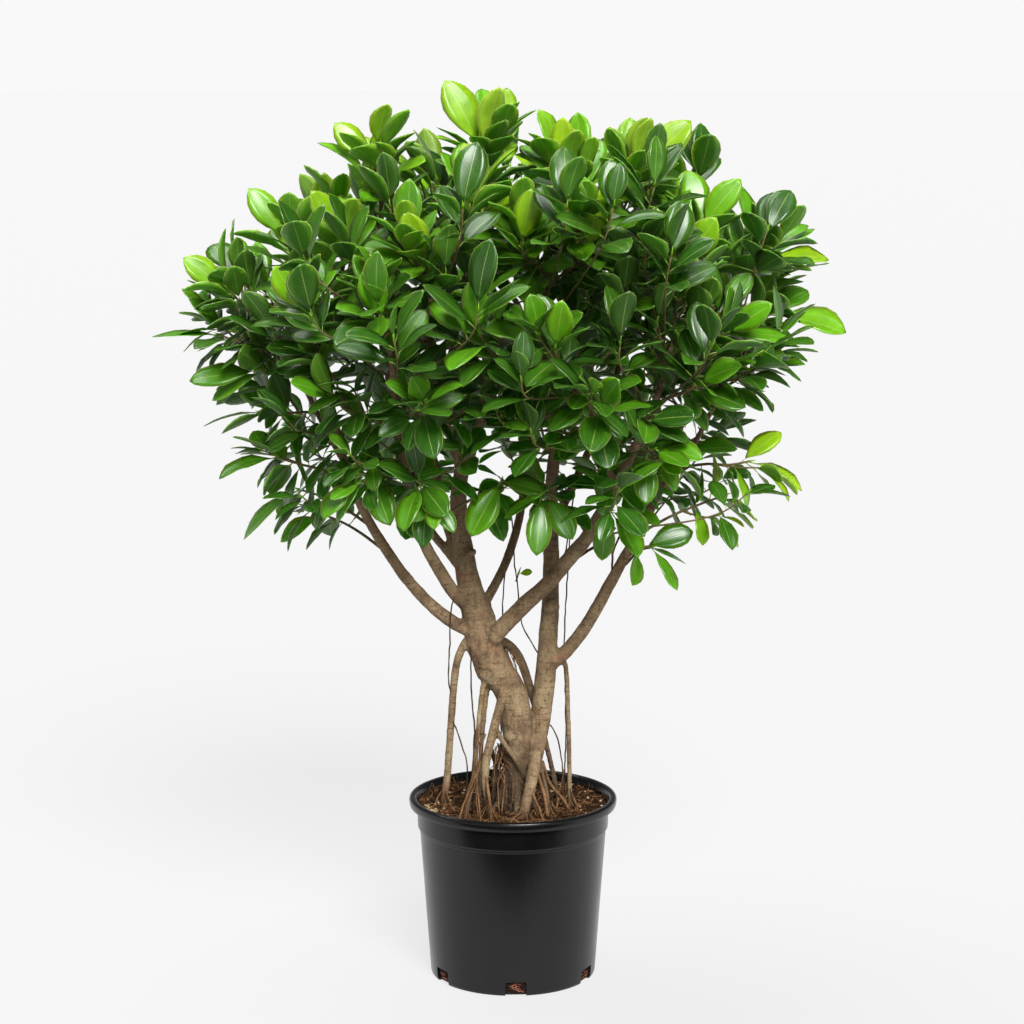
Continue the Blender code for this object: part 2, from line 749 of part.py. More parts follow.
def shoots(tubes):
    """One object for each leafy shoot: its twig with the leaves fused to it."""
    trees = [as_tree(mesh) for mesh in tubes.values()]
    routes, twigs = place_twigs(trees)
    green = material("fig leaf", (0.045, 0.16, 0.025), 0.4)
    placed = []
    total = 0
    for number, points in enumerate(routes):
        lead = SHOOTS[number][1]
        others = placed + twigs[:number] + twigs[number + 1 :]
        leaves, shells = grow_leaves(number, points, lead, others, trees)
        placed += shells
        total += len(leaves)
        name = f"shoot_{number + 1:02d}"
        made = add(name, tube_mesh(tapered(points), 4), parts)
        group = bpy.data.collections.new("leaves of " + name)
        helpers.children.link(group)
        blades = []
        for leaf in leaves:
            blade = add("leaf", blade_mesh(leaf), group)
            shell = blade.modifiers.new("thickness", "SOLIDIFY")
            shell.thickness = BLADE * MM
            shell.offset = 0.0
            blades.append(blade)
        fuse(made, blades, group)
        made.data.materials.clear()
        made.data.materials.append(green)
    print(f"{len(routes)} shoots hold {total} leaves")


for old in list(bpy.data.objects):
    bpy.data.objects.remove(old)
parts = bpy.data.collections.new("potted ficus")
helpers = bpy.data.collections.new("cutters and guides")
helpers.hide_render = True
bpy.context.scene.collection.children.link(parts)
bpy.context.scene.collection.children.link(helpers)

tubes = wood_tubes()
shoots(tubes)
wood(tubes)
soil()
pot()
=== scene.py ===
# %% [markdown]
# # A potted ficus, from frame to finished plant
# The plant stands in a black nursery pot: two trunks on aerial roots, their limbs, and a crown of
# glossy leaves. Its engineering model already exists, so this lesson first loads it as a fixed
# frame, and then dresses every part of it with finer shapes and finishes in the same place.

# %% Load the frame
import itertools
import json
import math
import random

import bmesh
import bpy
from mathutils import Matrix, Vector, geometry, noise
from mathutils.bvhtree import BVHTree
from mathutils.kdtree import KDTree

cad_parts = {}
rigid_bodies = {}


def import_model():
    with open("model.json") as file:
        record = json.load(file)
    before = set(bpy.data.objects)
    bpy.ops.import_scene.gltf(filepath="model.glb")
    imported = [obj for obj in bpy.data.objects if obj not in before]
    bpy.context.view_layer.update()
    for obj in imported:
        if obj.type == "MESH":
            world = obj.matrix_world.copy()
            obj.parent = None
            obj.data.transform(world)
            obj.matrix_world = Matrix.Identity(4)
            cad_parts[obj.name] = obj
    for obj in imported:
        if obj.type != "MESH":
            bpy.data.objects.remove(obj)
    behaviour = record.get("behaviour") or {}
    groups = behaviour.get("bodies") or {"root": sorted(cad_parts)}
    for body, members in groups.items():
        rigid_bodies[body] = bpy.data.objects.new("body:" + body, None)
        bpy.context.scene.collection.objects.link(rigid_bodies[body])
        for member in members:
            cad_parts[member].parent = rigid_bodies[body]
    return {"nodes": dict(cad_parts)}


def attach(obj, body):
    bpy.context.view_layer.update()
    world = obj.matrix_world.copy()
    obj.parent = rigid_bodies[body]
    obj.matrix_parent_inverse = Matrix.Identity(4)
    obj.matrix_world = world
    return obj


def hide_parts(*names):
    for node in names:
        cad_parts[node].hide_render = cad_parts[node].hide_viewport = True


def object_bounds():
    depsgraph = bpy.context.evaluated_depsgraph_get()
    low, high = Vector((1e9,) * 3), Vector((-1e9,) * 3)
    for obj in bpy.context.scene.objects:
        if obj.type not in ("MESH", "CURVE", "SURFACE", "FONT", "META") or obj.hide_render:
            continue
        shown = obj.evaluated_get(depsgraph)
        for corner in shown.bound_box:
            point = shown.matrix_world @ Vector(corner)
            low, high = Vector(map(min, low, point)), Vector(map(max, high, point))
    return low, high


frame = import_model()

MM = 0.001
cad_box = [list(corner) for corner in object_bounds()]
print("nodes in the frame:", len(frame["nodes"]))
print("frame box in metres:", cad_box)

# %% [markdown]
# ## Camera
# The photograph was taken from about the height of the plant's top, looking down a little, with a
# long lens and from about three metres, so upright things stay nearly upright. Every piece is
# compared with the photograph through this camera, which is why it comes first.

# %% Set up the camera
CAMERA_PLACE = (-0.0011, -3.028, 1.054)
CAMERA_TILT = 9.6
FOCAL_LENGTH, SENSOR_WIDTH = 95.0, 36.0

lens = bpy.data.cameras.new("long lens")
lens.lens, lens.sensor_width = FOCAL_LENGTH, SENSOR_WIDTH
camera = bpy.data.objects.new("studio camera", lens)
camera.location = CAMERA_PLACE
camera.rotation_euler = (math.radians(90.0 - CAMERA_TILT), 0.0, 0.0)
bpy.context.scene.collection.objects.link(camera)
bpy.context.scene.camera = camera
print("camera looks down by", CAMERA_TILT, "degrees")

# %% [markdown]
# ## Small helpers
# Hex colours are how paint and plastic are usually given, but a renderer adds light, so each
# colour is turned from sRGB to linear first. A finish is mixed like a recipe: each step adds one
# shader node and gives its result, which later steps can use.

# %% Turn colours to linear and mix finishes
def linear(text):
    """The linear red, green and blue of an sRGB hex colour, and an alpha of one."""
    parts = [int(text[k : k + 2], 16) / 255.0 for k in (1, 3, 5)]
    return [c / 12.92 if c <= 0.04045 else ((c + 0.055) / 1.055) ** 2.4 for c in parts] + [1.0]


class Recipe:
    """A tree of shader nodes in the making: each step adds a node and gives its result."""

    def __init__(self, tree):
        self.tree = tree

    def add(self, kind, inputs=None, **options):
        """Any node. An input is a number, a hex colour or the result of another step."""
        node = self.tree.nodes.new("ShaderNode" + kind)
        for key, value in options.items():
            setattr(node, key, value)
        for key, value in (inputs or {}).items():
            if isinstance(value, bpy.types.NodeSocket):
                self.tree.links.new(value, node.inputs[key])
            else:
                node.inputs[key].default_value = linear(value) if isinstance(value, str) else value
        return node.outputs

    def noise(self, spot, scale, detail, rough=0.5):
        """Clouds, so many to the metre."""
        return self.add("TexNoise", {"Vector": spot, "Scale": scale, "Detail": detail,
                                     "Roughness": rough})["Fac"]

    def stretched(self, spot, *scale):
        """Places stretched or pressed together along X, Y and Z."""
        return self.add("Mapping", {"Vector": spot, "Scale": scale})["Vector"]

    def span(self, value, low, high, first, last):
        """What goes from low to high now goes from first to last."""
        return self.add("MapRange", {0: value, 1: low, 2: high, 3: first, 4: last})["Result"]

    def sum(self, operation, *values):
        """Arithmetic with one to three values."""
        return self.add("Math", dict(enumerate(values)), operation=operation)[0]

    def stored(self, name):
        """A number that the mesh keeps for each of its points."""
        return self.add("Attribute", attribute_name=name)["Fac"]

    def ramp(self, share, *stops):
        """A colour that goes from stop to stop: each stop is a share and a colour."""
        colour = self.add("ValToRGB", {"Fac": share})["Color"]
        line = colour.node.color_ramp.elements
        line[0].position, line[0].color = stops[0]
        line[1].position, line[1].color = stops[-1]
        for place, middle in stops[1:-1]:
            line.new(place).color = middle
        return colour

    def blend(self, share, first, second):
        """The first colour, which gives way to the second as the share grows."""
        return self.add("Mix", {0: share, 6: first, 7: second}, data_type="RGBA")[2]

    def shaded(self, colour, share):
        """A colour made darker or lighter."""
        return self.add("VectorMath", {0: colour, "Scale": share}, operation="SCALE")[0]

    def bump(self, height, strength, distance):
        """A small relief, so many metres deep."""
        return self.add("Bump", {"Height": height, "Strength": strength,
                                 "Distance": distance})["Normal"]

    def surface(self, inputs):
        """The last step: the surface itself, joined to the output."""
        self.add("OutputMaterial", {"Surface": self.add("BsdfPrincipled", inputs)[0]})


def new_finish(name):
    """A material and its recipe, which has no steps yet."""
    finish = bpy.data.materials.new(name)
    finish.use_nodes = True
    finish.node_tree.nodes.clear()
    return finish, Recipe(finish.node_tree)


def between(value, start, end):
    """How far a value is on its way from start to end, from 0 to 1."""
    return min(1.0, max(0.0, (value - start) / (end - start)))


print("leaf green in linear light:", [round(c, 3) for c in linear("#547528")])

# %% [markdown]
# Four more helpers turn work in progress into objects. A finished piece's object stays at the
# origin and holds its place in its mesh, as the frame's own nodes do. It rides on the body "root".

# %% Make objects from meshes
helpers = bpy.data.collections.new("guides")
bpy.context.scene.collection.children.link(helpers)


def add(name, mesh, group=None):
    """A new object for the mesh."""
    made = bpy.data.objects.new(name, mesh)
    (group or bpy.context.scene.collection).objects.link(made)
    return made


def finished_mesh(source):
    """The object's mesh with its modifiers applied."""
    graph = bpy.context.evaluated_depsgraph_get()
    return bpy.data.meshes.new_from_object(source.evaluated_get(graph))


def mesh_from(work, name):
    """Ends a bmesh and gives its mesh."""
    mesh = bpy.data.meshes.new(name)
    work.to_mesh(mesh)
    work.free()
    return mesh


def settle(piece, finishes, sharp=None):
    """Gives a piece its finishes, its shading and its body."""
    for finish in finishes:
        piece.data.materials.append(finish)
    piece.data.shade_smooth()
    if sharp:
        piece.data.set_sharp_from_angle(angle=math.radians(sharp))
    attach(piece, "root")
    piece.data.calc_loop_triangles()
    print(piece.name, "has", len(piece.data.loop_triangles), "triangles")


# %% [markdown]
# ## Floor and light
# The plant stands on a lit table: a wide white acrylic sheet that glows from below, so the shadow
# on it stays faint and its far edge melts into the white walls. One grid makes it. The light is
# what a white studio gives: walls that glow near the horizon, a dim ceiling that leaves the depth
# of the crown dark, and two large soft lights. The strong one, above and in front, puts a sheen
# on the leaves, and the weak one behind lights the top of the crown. A black card lies on the
# table in front of the picture, so that the glossy pot has something dark to mirror, as product
# photographers do; it shows in reflections alone.

# %% Lay out the glowing floor
FLOOR_REACH = 80.0
FLOOR_GLOW = 0.74


def sheet(name, squares, reach, finish):
    """A flat sheet at the origin, with so many squares a side."""
    work = bmesh.new()
    bmesh.ops.create_grid(work, x_segments=squares, y_segments=squares, size=reach)
    made = add(name, mesh_from(work, name))
    made.data.materials.append(finish)
    print(name, "is", 2.0 * reach, "m wide")
    return made


acrylic, recipe = new_finish("backlit white acrylic")
recipe.surface({
    "Base Color": "#4d4d4d", "Roughness": 0.9, "Specular IOR Level": 0.1,
    "Emission Color": "#ffffff", "Emission Strength": FLOOR_GLOW,
})
floor = sheet("studio_floor", 8, FLOOR_REACH, acrylic)

# %% Lay a black card in front
CARD_REACH = 1.4
CARD_PLACE = Vector((0.0, -1.7, 0.002))

felt, recipe = new_finish("black felt")
recipe.surface({"Base Color": "#060606", "Roughness": 1.0, "Specular IOR Level": 0.0})
card = sheet("black_card", 2, CARD_REACH, felt)
card.data.transform(Matrix.Translation(CARD_PLACE))
card.visible_camera = card.visible_diffuse = card.visible_shadow = False

# %% Light it softly
scene = bpy.context.scene
scene.view_settings.view_transform = "Standard"
surround = bpy.data.worlds.new("white studio")
surround.use_nodes = True
sky = Recipe(surround.node_tree)
rise = sky.add("SeparateXYZ", {0: sky.add("TexCoord")["Generated"]})["Z"]
walls = sky.ramp(rise, (0.1, (0.95, 0.95, 0.95, 1.0)), (0.2, (0.10, 0.10, 0.10, 1.0)))
sky.tree.links.new(walls, sky.tree.nodes["Background"].inputs["Color"])
scene.world = surround

LIGHT_TARGET = Vector((0.0, 0.0, 0.5))
LIGHTS = (
    ("broad key", (0.9, -3.2, 3.2), 6.5, 26.0),
    ("top light", (-0.9, 0.8, 4.0), 3.0, 44.0),
)
for name, place, energy, softness in LIGHTS:
    lamp = bpy.data.lights.new(name, "SUN")
    lamp.energy, lamp.angle = energy, math.radians(softness)
    made = add(name, lamp)
    made.location = place
    made.rotation_euler = (LIGHT_TARGET - Vector(place)).to_track_quat("-Z", "Y").to_euler()
print("lights are up:", len(LIGHTS))

# %% [markdown]
# ## The pot
# A nursery pot is injection moulded from black polypropylene: a slightly tapered wall, a wider
# collar under the rim, and a rim rolled outwards to be gripped. Half of its section is drawn as a
# line of points, bevelled where the mould rounds it, and spun about the upright axis. The notches
# for drainage at the foot are cut through afterwards.

# %% Spin the pot's section
LIP_RADIUS, COLLAR_RADIUS, BODY_RADIUS, BASE_RADIUS = 120.0, 110.6, 107.6, 95.2
POT_HEIGHT, COLLAR_FOOT, WALL = 210.0, 172.0, 2.0
NOTCHES, NOTCH_WIDTH, NOTCH_HEIGHT, NOTCH_DEPTH = 6, 24.0, 17.0, 14.0
NOTCH_TURNS = [math.radians(-88.0) + math.tau * k / NOTCHES for k in range(NOTCHES)]


def inner_wall(z):
    """The pot's inner radius at a height."""
    if z < COLLAR_FOOT:
        return BASE_RADIUS - WALL + (BODY_RADIUS - BASE_RADIUS) * z / COLLAR_FOOT
    return COLLAR_RADIUS - WALL - 0.7 + 0.03 * (z - COLLAR_FOOT)


def spun(section, steps, rounding=0.0):
    """A closed shape spun from a section that starts and ends on the axis."""
    work = bmesh.new()
    spots = [work.verts.new((radius * MM, 0.0, z * MM)) for radius, z in section]
    for pair in zip(spots, spots[1:]):
        work.edges.new(pair)
    if rounding:
        bmesh.ops.bevel(work, geom=spots[1:-1], affect="VERTICES", offset=rounding * MM,
                        segments=3, profile=0.5, material=-1, clamp_overlap=True)
    bmesh.ops.spin(work, geom=work.verts[:] + work.edges[:], cent=(0, 0, 0), axis=(0, 0, 1),
                   angle=math.tau, steps=steps, use_merge=True)
    bmesh.ops.remove_doubles(work, verts=work.verts, dist=1e-6)
    bmesh.ops.recalc_face_normals(work, faces=work.faces)
    return work


POT_SECTION = (
    (0.0, 2.5), (inner_wall(2.5), 2.5), (inner_wall(171.0), 171.0), (inner_wall(176.0), 176.0),
    (inner_wall(204.0), 204.0), (111.4, 208.2), (112.9, 209.7), (114.5, POT_HEIGHT),
    (LIP_RADIUS - 2.4, POT_HEIGHT), (LIP_RADIUS - 0.6, 208.9), (LIP_RADIUS, 206.6),
    (LIP_RADIUS - 0.3, 203.0), (LIP_RADIUS - 1.3, 199.6), (LIP_RADIUS - 3.0, 198.9),
    (COLLAR_RADIUS + 0.6, 198.6), (COLLAR_RADIUS, 196.5), (COLLAR_RADIUS - 0.5, 176.2),
    (COLLAR_RADIUS - 1.0, 174.4), (BODY_RADIUS + 0.4, 173.6), (BODY_RADIUS + 0.7, 172.2),
    (BODY_RADIUS, 171.4), (BASE_RADIUS + 0.4, 3.4), (BASE_RADIUS - 0.4, 1.0),
    (BASE_RADIUS - 2.0, 0.0), (0.0, 0.0),
)
work = spun(POT_SECTION, 144, rounding=0.5)
pot = add("pot_shell", mesh_from(work, "pot shell"))
print("pot section has", len(POT_SECTION), "points")

# %% Cut the drainage notches
notches = bpy.data.collections.new("notches")
helpers.children.link(notches)
for k, turn in enumerate(NOTCH_TURNS):
    work = bmesh.new()
    bmesh.ops.create_cube(work, size=MM)
    bmesh.ops.scale(work, vec=(NOTCH_DEPTH, NOTCH_WIDTH, 2.0 * NOTCH_HEIGHT), verts=work.verts)
    inward = [edge for edge in work.edges if abs((edge.verts[0].co - edge.verts[1].co).x) > MM]
    bmesh.ops.bevel(work, geom=inward, affect="EDGES", offset=2.0 * MM, segments=3,
                    profile=0.5, material=-1)
    place = Matrix.Rotation(turn, 4, "Z") @ Matrix.Translation((BASE_RADIUS * MM, 0.0, 0.0))
    bmesh.ops.transform(work, matrix=place, verts=work.verts)
    add(f"notch_{k + 1}", mesh_from(work, "notch"), notches)
cutting = pot.modifiers.new("notches", "BOOLEAN")
cutting.operation = "DIFFERENCE"
cutting.operand_type = "COLLECTION"
cutting.collection = notches
cutting.solver = "EXACT"
pot.data = finished_mesh(pot)
pot.modifiers.clear()
for cutter in list(notches.objects):
    bpy.data.objects.remove(cutter)
print("notches cut:", NOTCHES)

# %% [markdown]
# Black polypropylene leaves the mould with a satin skin. It is never even: handling and dust make
# the gloss a little cloudy, and faint upright scuffs are greyer. The mould's grain is about 1 mm
# wide, the clouds about 60 mm.

# %% Finish the pot in satin black polypropylene
plastic, recipe = new_finish("moulded black polypropylene")
spot = recipe.add("TexCoord")["Object"]
clouds = recipe.noise(spot, 16.0, 5.0, 0.6)
grain = recipe.noise(spot, 900.0, 2.0)
scratches = recipe.noise(recipe.stretched(spot, 220.0, 220.0, 14.0), 1.0, 4.0, 0.7)
scuffed = recipe.span(scratches, 0.62, 0.78, 0.0, 0.5)
tone = recipe.blend(clouds, "#060607", "#0c0c0d")
recipe.surface({
    "IOR": 1.49, "Specular IOR Level": 0.4,
    "Base Color": recipe.blend(scuffed, tone, "#1c1c1d"),
    "Roughness": recipe.span(clouds, 0.3, 0.7, 0.2, 0.31),
    "Normal": recipe.bump(grain, 0.25, 0.0002),
})
settle(pot, [plastic], sharp=35.0)
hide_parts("pot")

# %% [markdown]
# ## The potting mix
# The mix is fine bark and coir: it fills the pot nearly to the rim, banked against the wall and
# around the roots, and looks rough because of what lies loose on it. So its top is spun, pushed
# up and down by noise, and then strewn with crumbs, bark chips and fibres as separate small
# shapes.

# %% Spin the mix and roughen its top
SOIL_TOP, SOIL_GAP = 193.0, 0.35
STREWN_REACH, FIBRE_REACH = 107.5, 108.0
soil_random = random.Random(41)


def soil_height(x, y):
    """The height of the mix at a place, in millimetres: a mound, lumps and a bank at the wall."""
    reach = math.hypot(x, y)
    mound = 3.2 * math.exp(-((x + 8.0) ** 2 + (y + 6.0) ** 2) / 3200.0)
    lumps = 2.2 * noise.noise(Vector((x, y, 0.0)) / 16.0)
    lumps += 1.1 * noise.noise(Vector((x, y, 40.0)) / 5.0)
    near_wall = between(reach, 66.0, 110.0)
    bank = (8.5 if y < 0.0 else 10.0) - 2.0 * x / 110.0
    edge = min(1.0, (116.0 - reach) / 14.0)
    return SOIL_TOP + mound + bank * near_wall * near_wall + lumps * edge - 0.8


rim = inner_wall(SOIL_TOP) - SOIL_GAP
section = [(rim * k / 30.0, SOIL_TOP) for k in range(31)]
section += [(inner_wall(171.0) - SOIL_GAP, 170.0), (inner_wall(2.5) - SOIL_GAP, 2.9), (0.0, 2.9)]
work = spun(section, 120)
for vert in work.verts:
    if vert.co.z > (SOIL_TOP - 1.0) * MM:
        vert.co.z = soil_height(vert.co.x / MM, vert.co.y / MM) * MM
soil = add("potting_mix", mesh_from(work, "potting mix"))
print("top of the mix:", round(max(v.co.z for v in soil.data.vertices), 4), "m")

# %% Strew crumbs and bark chips
def soil_spot(least=0.0, turns=(0.0, math.tau)):
    """A random place on the mix, as far out as the wall."""
    reach = math.sqrt(soil_random.uniform(least * least, 1.0)) * STREWN_REACH
    turn = soil_random.uniform(*turns)
    return reach * math.cos(turn), reach * math.sin(turn)


def strewn(name, count, shape, size, form, lift, **where):
    """Many crumbs or chips that lie on the mix, each with its own size within a range.

    The form is how long, wide and high one is for its size, the lift how much of it shows.
    """
    work = bmesh.new()
    for _ in range(count):
        made = shape(work)
        x, y = soil_spot(**where)
        sides = [soil_random.uniform(*size) * part for part in form]
        turn = Matrix.Rotation(soil_random.uniform(0.0, math.tau), 4, "Z")
        tilt = Matrix.Rotation(soil_random.uniform(-0.5, 0.5), 4, "X")
        place = Matrix.Translation(Vector((x, y, soil_height(x, y) + lift * sides[2])) * MM)
        sized = Matrix.Diagonal((*[side * MM for side in sides], 1.0))
        bmesh.ops.transform(work, matrix=place @ turn @ tilt @ sized, verts=made)
    print(name, "strewn:", count)
    return add(name, mesh_from(work, name))


def crumb(work):
    """A crumb: a ball of twenty faces with pushed corners."""
    made = bmesh.ops.create_icosphere(work, subdivisions=1, radius=0.5)["verts"]
    for vert in made:
        vert.co *= soil_random.uniform(0.75, 1.2)
    return made


def chip(work):
    """A chip: a box with one end drawn in."""
    made = bmesh.ops.create_cube(work, size=1.0)["verts"]
    for vert in made:
        if vert.co.x > 0.0:
            vert.co.y *= soil_random.uniform(0.3, 0.9)
        vert.co.z += soil_random.uniform(-0.15, 0.15)
    return made


crumbs = strewn("mix_crumbs", 1900, crumb, (1.6, 5.4), (1.0, 0.85, 0.7), 0.15)
chips = strewn("bark_chips", 320, chip, (3.0, 9.0), (1.0, 0.45, 0.22), 0.4)
flecks = strewn("pale_flecks", 80, crumb, (2.2, 7.2), (1.0, 0.62, 0.45), 0.35, least=0.7)

# %% [markdown]
# Coir fibres and fine roots lie in and on the mix as curly threads. A curve with a round bevel is
# the quickest way to make threads: each is one line of the same curve, which is turned to a mesh
# at the end and becomes one piece.

# %% Make tubes from routes
def tubes(routes, sides):
    """Closed tubes with flat ends along routes, whose points have a place and a radius."""
    curve = bpy.data.curves.new("tubes", "CURVE")
    curve.dimensions = "3D"
    curve.twist_mode = "MINIMUM"
    curve.bevel_depth = MM
    curve.use_fill_caps = True
    curve.bevel_resolution = (sides - 4) // 2
    for route in routes:
        line = curve.splines.new("POLY")
        line.points.add(len(route) - 1)
        for spot, (x, y, z, radius) in zip(line.points, route):
            spot.co = (x * MM, y * MM, z * MM, 1.0)
            spot.radius = radius
    guide = add("guide", curve, helpers)
    work = bmesh.new()
    work.from_mesh(finished_mesh(guide))
    bpy.data.objects.remove(guide)
    bmesh.ops.remove_doubles(work, verts=work.verts, dist=1e-6)
    return work


def tube_mesh(route, sides):
    """The mesh of a single tube."""
    return mesh_from(tubes([route], sides), "tube")


def tube_bundle(name, routes, sides):
    """One piece from many tubes."""
    work = tubes(routes, sides)
    bmesh.ops.recalc_face_normals(work, faces=work.faces)
    print(name, "made of", len(routes), "tubes")
    return add(name, mesh_from(work, name))


def wandering(start, way, length, radius, chance, wobble=0.35, points=7):
    """A thread that starts at a place and wanders on, thinner towards its end."""
    spot, way = Vector(start), Vector(way).normalized()
    route = []
    for k in range(points):
        route.append((*spot, radius * (1.0 - 0.55 * (k / (points - 1)))))
        turn = Vector([chance.uniform(-wobble, wobble) for _ in range(3)])
        way = (way + turn).normalized()
        spot = spot + way * length / (points - 1)
    return route

# %% Lay fibres on the mix
FIBRES = 620

fibres = []
for _ in range(FIBRES):
    x, y = soil_spot()
    start = (x, y, soil_height(x, y) - 1.0)
    turn = soil_random.uniform(0.0, math.tau)
    way = (math.cos(turn), math.sin(turn), soil_random.uniform(0.05, 0.5))
    length, radius = soil_random.uniform(9.0, 38.0), soil_random.uniform(0.2, 0.46)
    line = wandering(start, way, length, radius, soil_random)
    kept = []
    for px, py, pz, size in line:
        reach = max(1.0, math.hypot(px, py) / FIBRE_REACH)
        ground = soil_height(px / reach, py / reach)
        kept.append((px / reach, py / reach, min(max(pz, ground - 0.6), ground + 7.0), size))
    fibres.append(kept)
threads = tube_bundle("coir_fibres", fibres, 4)

# %% Show roots behind the notches
NOTCH_ROOTS, NOTCH_ROOT_RADIUS = 7, 0.36

notch_roots = []
for turn in NOTCH_TURNS:
    for _ in range(NOTCH_ROOTS):
        spread, z = soil_random.uniform(-0.11, 0.02), soil_random.uniform(3.5, 15.0)
        rise, line = soil_random.uniform(-0.7, 0.7), []
        for step in range(7):
            z = min(16.0, max(3.4, z + rise + soil_random.uniform(-0.8, 0.8)))
            angle, reach = turn + spread + 0.016 * step, inner_wall(z) + 0.1
            line.append((reach * math.cos(angle), reach * math.sin(angle), z, NOTCH_ROOT_RADIUS))
        notch_roots.append(line)
notch_threads = tube_bundle("notch_roots", notch_roots, 4)
wall_chips = strewn("pale_wall_chips", 46, chip, (3.5, 8.5), (1.0, 0.62, 0.34), 0.75,
                    least=0.87, turns=(math.radians(185.0), math.radians(330.0)))

# %% [markdown]
# Damp composted bark is nearly black-brown with red-brown and tan bits in it. Colour follows two
# noises: clumps of about 12 mm and single grains of about 2 mm, and the same grains make the
# bump. Chips and fibres get a lighter, drier finish of their own.

# %% Finish the mix, its chips and its fibres
def grainy(name, dark, middle, light, clump_mm, grain_mm, rough, depth_mm):
    """A dry, grainy finish in three colours."""
    finish, recipe = new_finish(name)
    spot = recipe.add("TexCoord")["Object"]
    clump = recipe.noise(spot, 1000.0 / clump_mm, 3.0)
    grain = recipe.noise(spot, 1000.0 / grain_mm, 4.0, 0.7)
    mixed = recipe.add("Mix", {0: 0.55, 2: clump, 3: grain}, data_type="FLOAT")[0]
    stops = (0.38, linear(dark)), (0.52, linear(middle)), (0.66, linear(light))
    recipe.surface({
        "Roughness": rough, "Specular IOR Level": 0.1,
        "Base Color": recipe.ramp(mixed, *stops),
        "Normal": recipe.bump(grain, 0.7, depth_mm * MM),
    })
    return finish


# Below the collar the mix shows only through the notches; there it gets a darker finish, painted
# shade for the dark inside the pot.
NOTCH_SHADE_BELOW = 0.17
mix = grainy("moist composted bark", "#0c0502", "#2a190c", "#604526", 12.0, 2.2, 0.93, 1.2)
notch_shade_mix = grainy("mix at the wall in painted shade", "#0b0705", "#180f0a", "#33211a", 9.0, 2.0, 0.9, 0.8)
dry = grainy("dry bark chips", "#2a1a0e", "#5a4028", "#957650", 9.0, 1.5, 0.88, 0.4)
coir = grainy("coir fibre and fine roots", "#341f14", "#6c4a30", "#a08058", 14.0, 3.0, 0.8, 0.2)
pale = grainy("pale flecks of bark and perlite", "#7d6d4c", "#a8997a", "#cfc4a6",
              4.0, 1.0, 0.9, 0.3)
reddish = grainy("red root skin", "#5a3026", "#7c4a3c", "#a87360", 9.0, 2.0, 0.75, 0.2)
bleached = grainy("bleached bark chips", "#6a5638", "#94805c", "#bcaa82", 5.0, 1.2, 0.9, 0.3)
settle(soil, [mix, notch_shade_mix], sharp=50.0)
# Faces below that height take the darker finish: painted shade.
for face in soil.data.polygons:
    face.material_index = 1 if face.center.z < NOTCH_SHADE_BELOW else 0
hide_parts("soil")
settle(notch_threads, [reddish])
settle(crumbs, [mix], sharp=20.0)
settle(chips, [dry], sharp=20.0)
settle(flecks, [pale])
settle(wall_chips, [bleached], sharp=20.0)
settle(threads, [coir])

# %% [markdown]
# ## Trunks, roots and limbs
# A fig of this kind sends roots down from its trunk and limbs. They grow into each other, so the
# wood is one body with no seams. Each trunk, root and limb is a route of points with a radius;
# tubes along smooth lines through them are laid into each other, and a voxel remesh then melts
# them into one skin. The routes are the frame's own, so the wood stays where the frame has it.

# %% Give the routes of trunks and roots
STUB_FOOT = 174.0
TRUNKS = {
    "left_trunk": (10, [
        (2, -8, STUB_FOOT, 15), (2, -8, 204, 14.5), (3, -7, 232, 13), (5, -6, 262, 16.5),
        (5, -6, 290, 17.5), (2, -6, 318, 17.5), (-6, -6, 340, 18), (-20, -6, 362, 18.5),
        (-32, -5, 385, 20), (-37, -3, 412, 19), (-45, 0, 438, 16), (-51, 2, 462, 13.6),
        (-56, 5, 492, 11.8), (-61, 7, 530, 9.9), (-62, 9, 560, 9.4), (-58, 10, 590, 8),
    ]),
    "right_trunk": (8, [
        (12, -38, STUB_FOOT, 5.8), (12, -38, 198, 5.8), (19, -30, 224, 6.4), (25, -17, 252, 7.6),
        (30, -4, 278, 9), (32, 4, 298, 11), (34, 8, 320, 12.2), (38, 11, 356, 11.6),
        (41, 14, 400, 10.6), (43, 18, 436, 9.8), (44, 21, 480, 9.2), (43, 24, 530, 8.6),
        (45, 24, 580, 7.2), (49, 20, 622, 5.8),
    ]),
    "neck": (8, [(-33, -5, 400, 18), (-30, -5, 374, 17.5), (-28, -5, 350, 12)]),
}
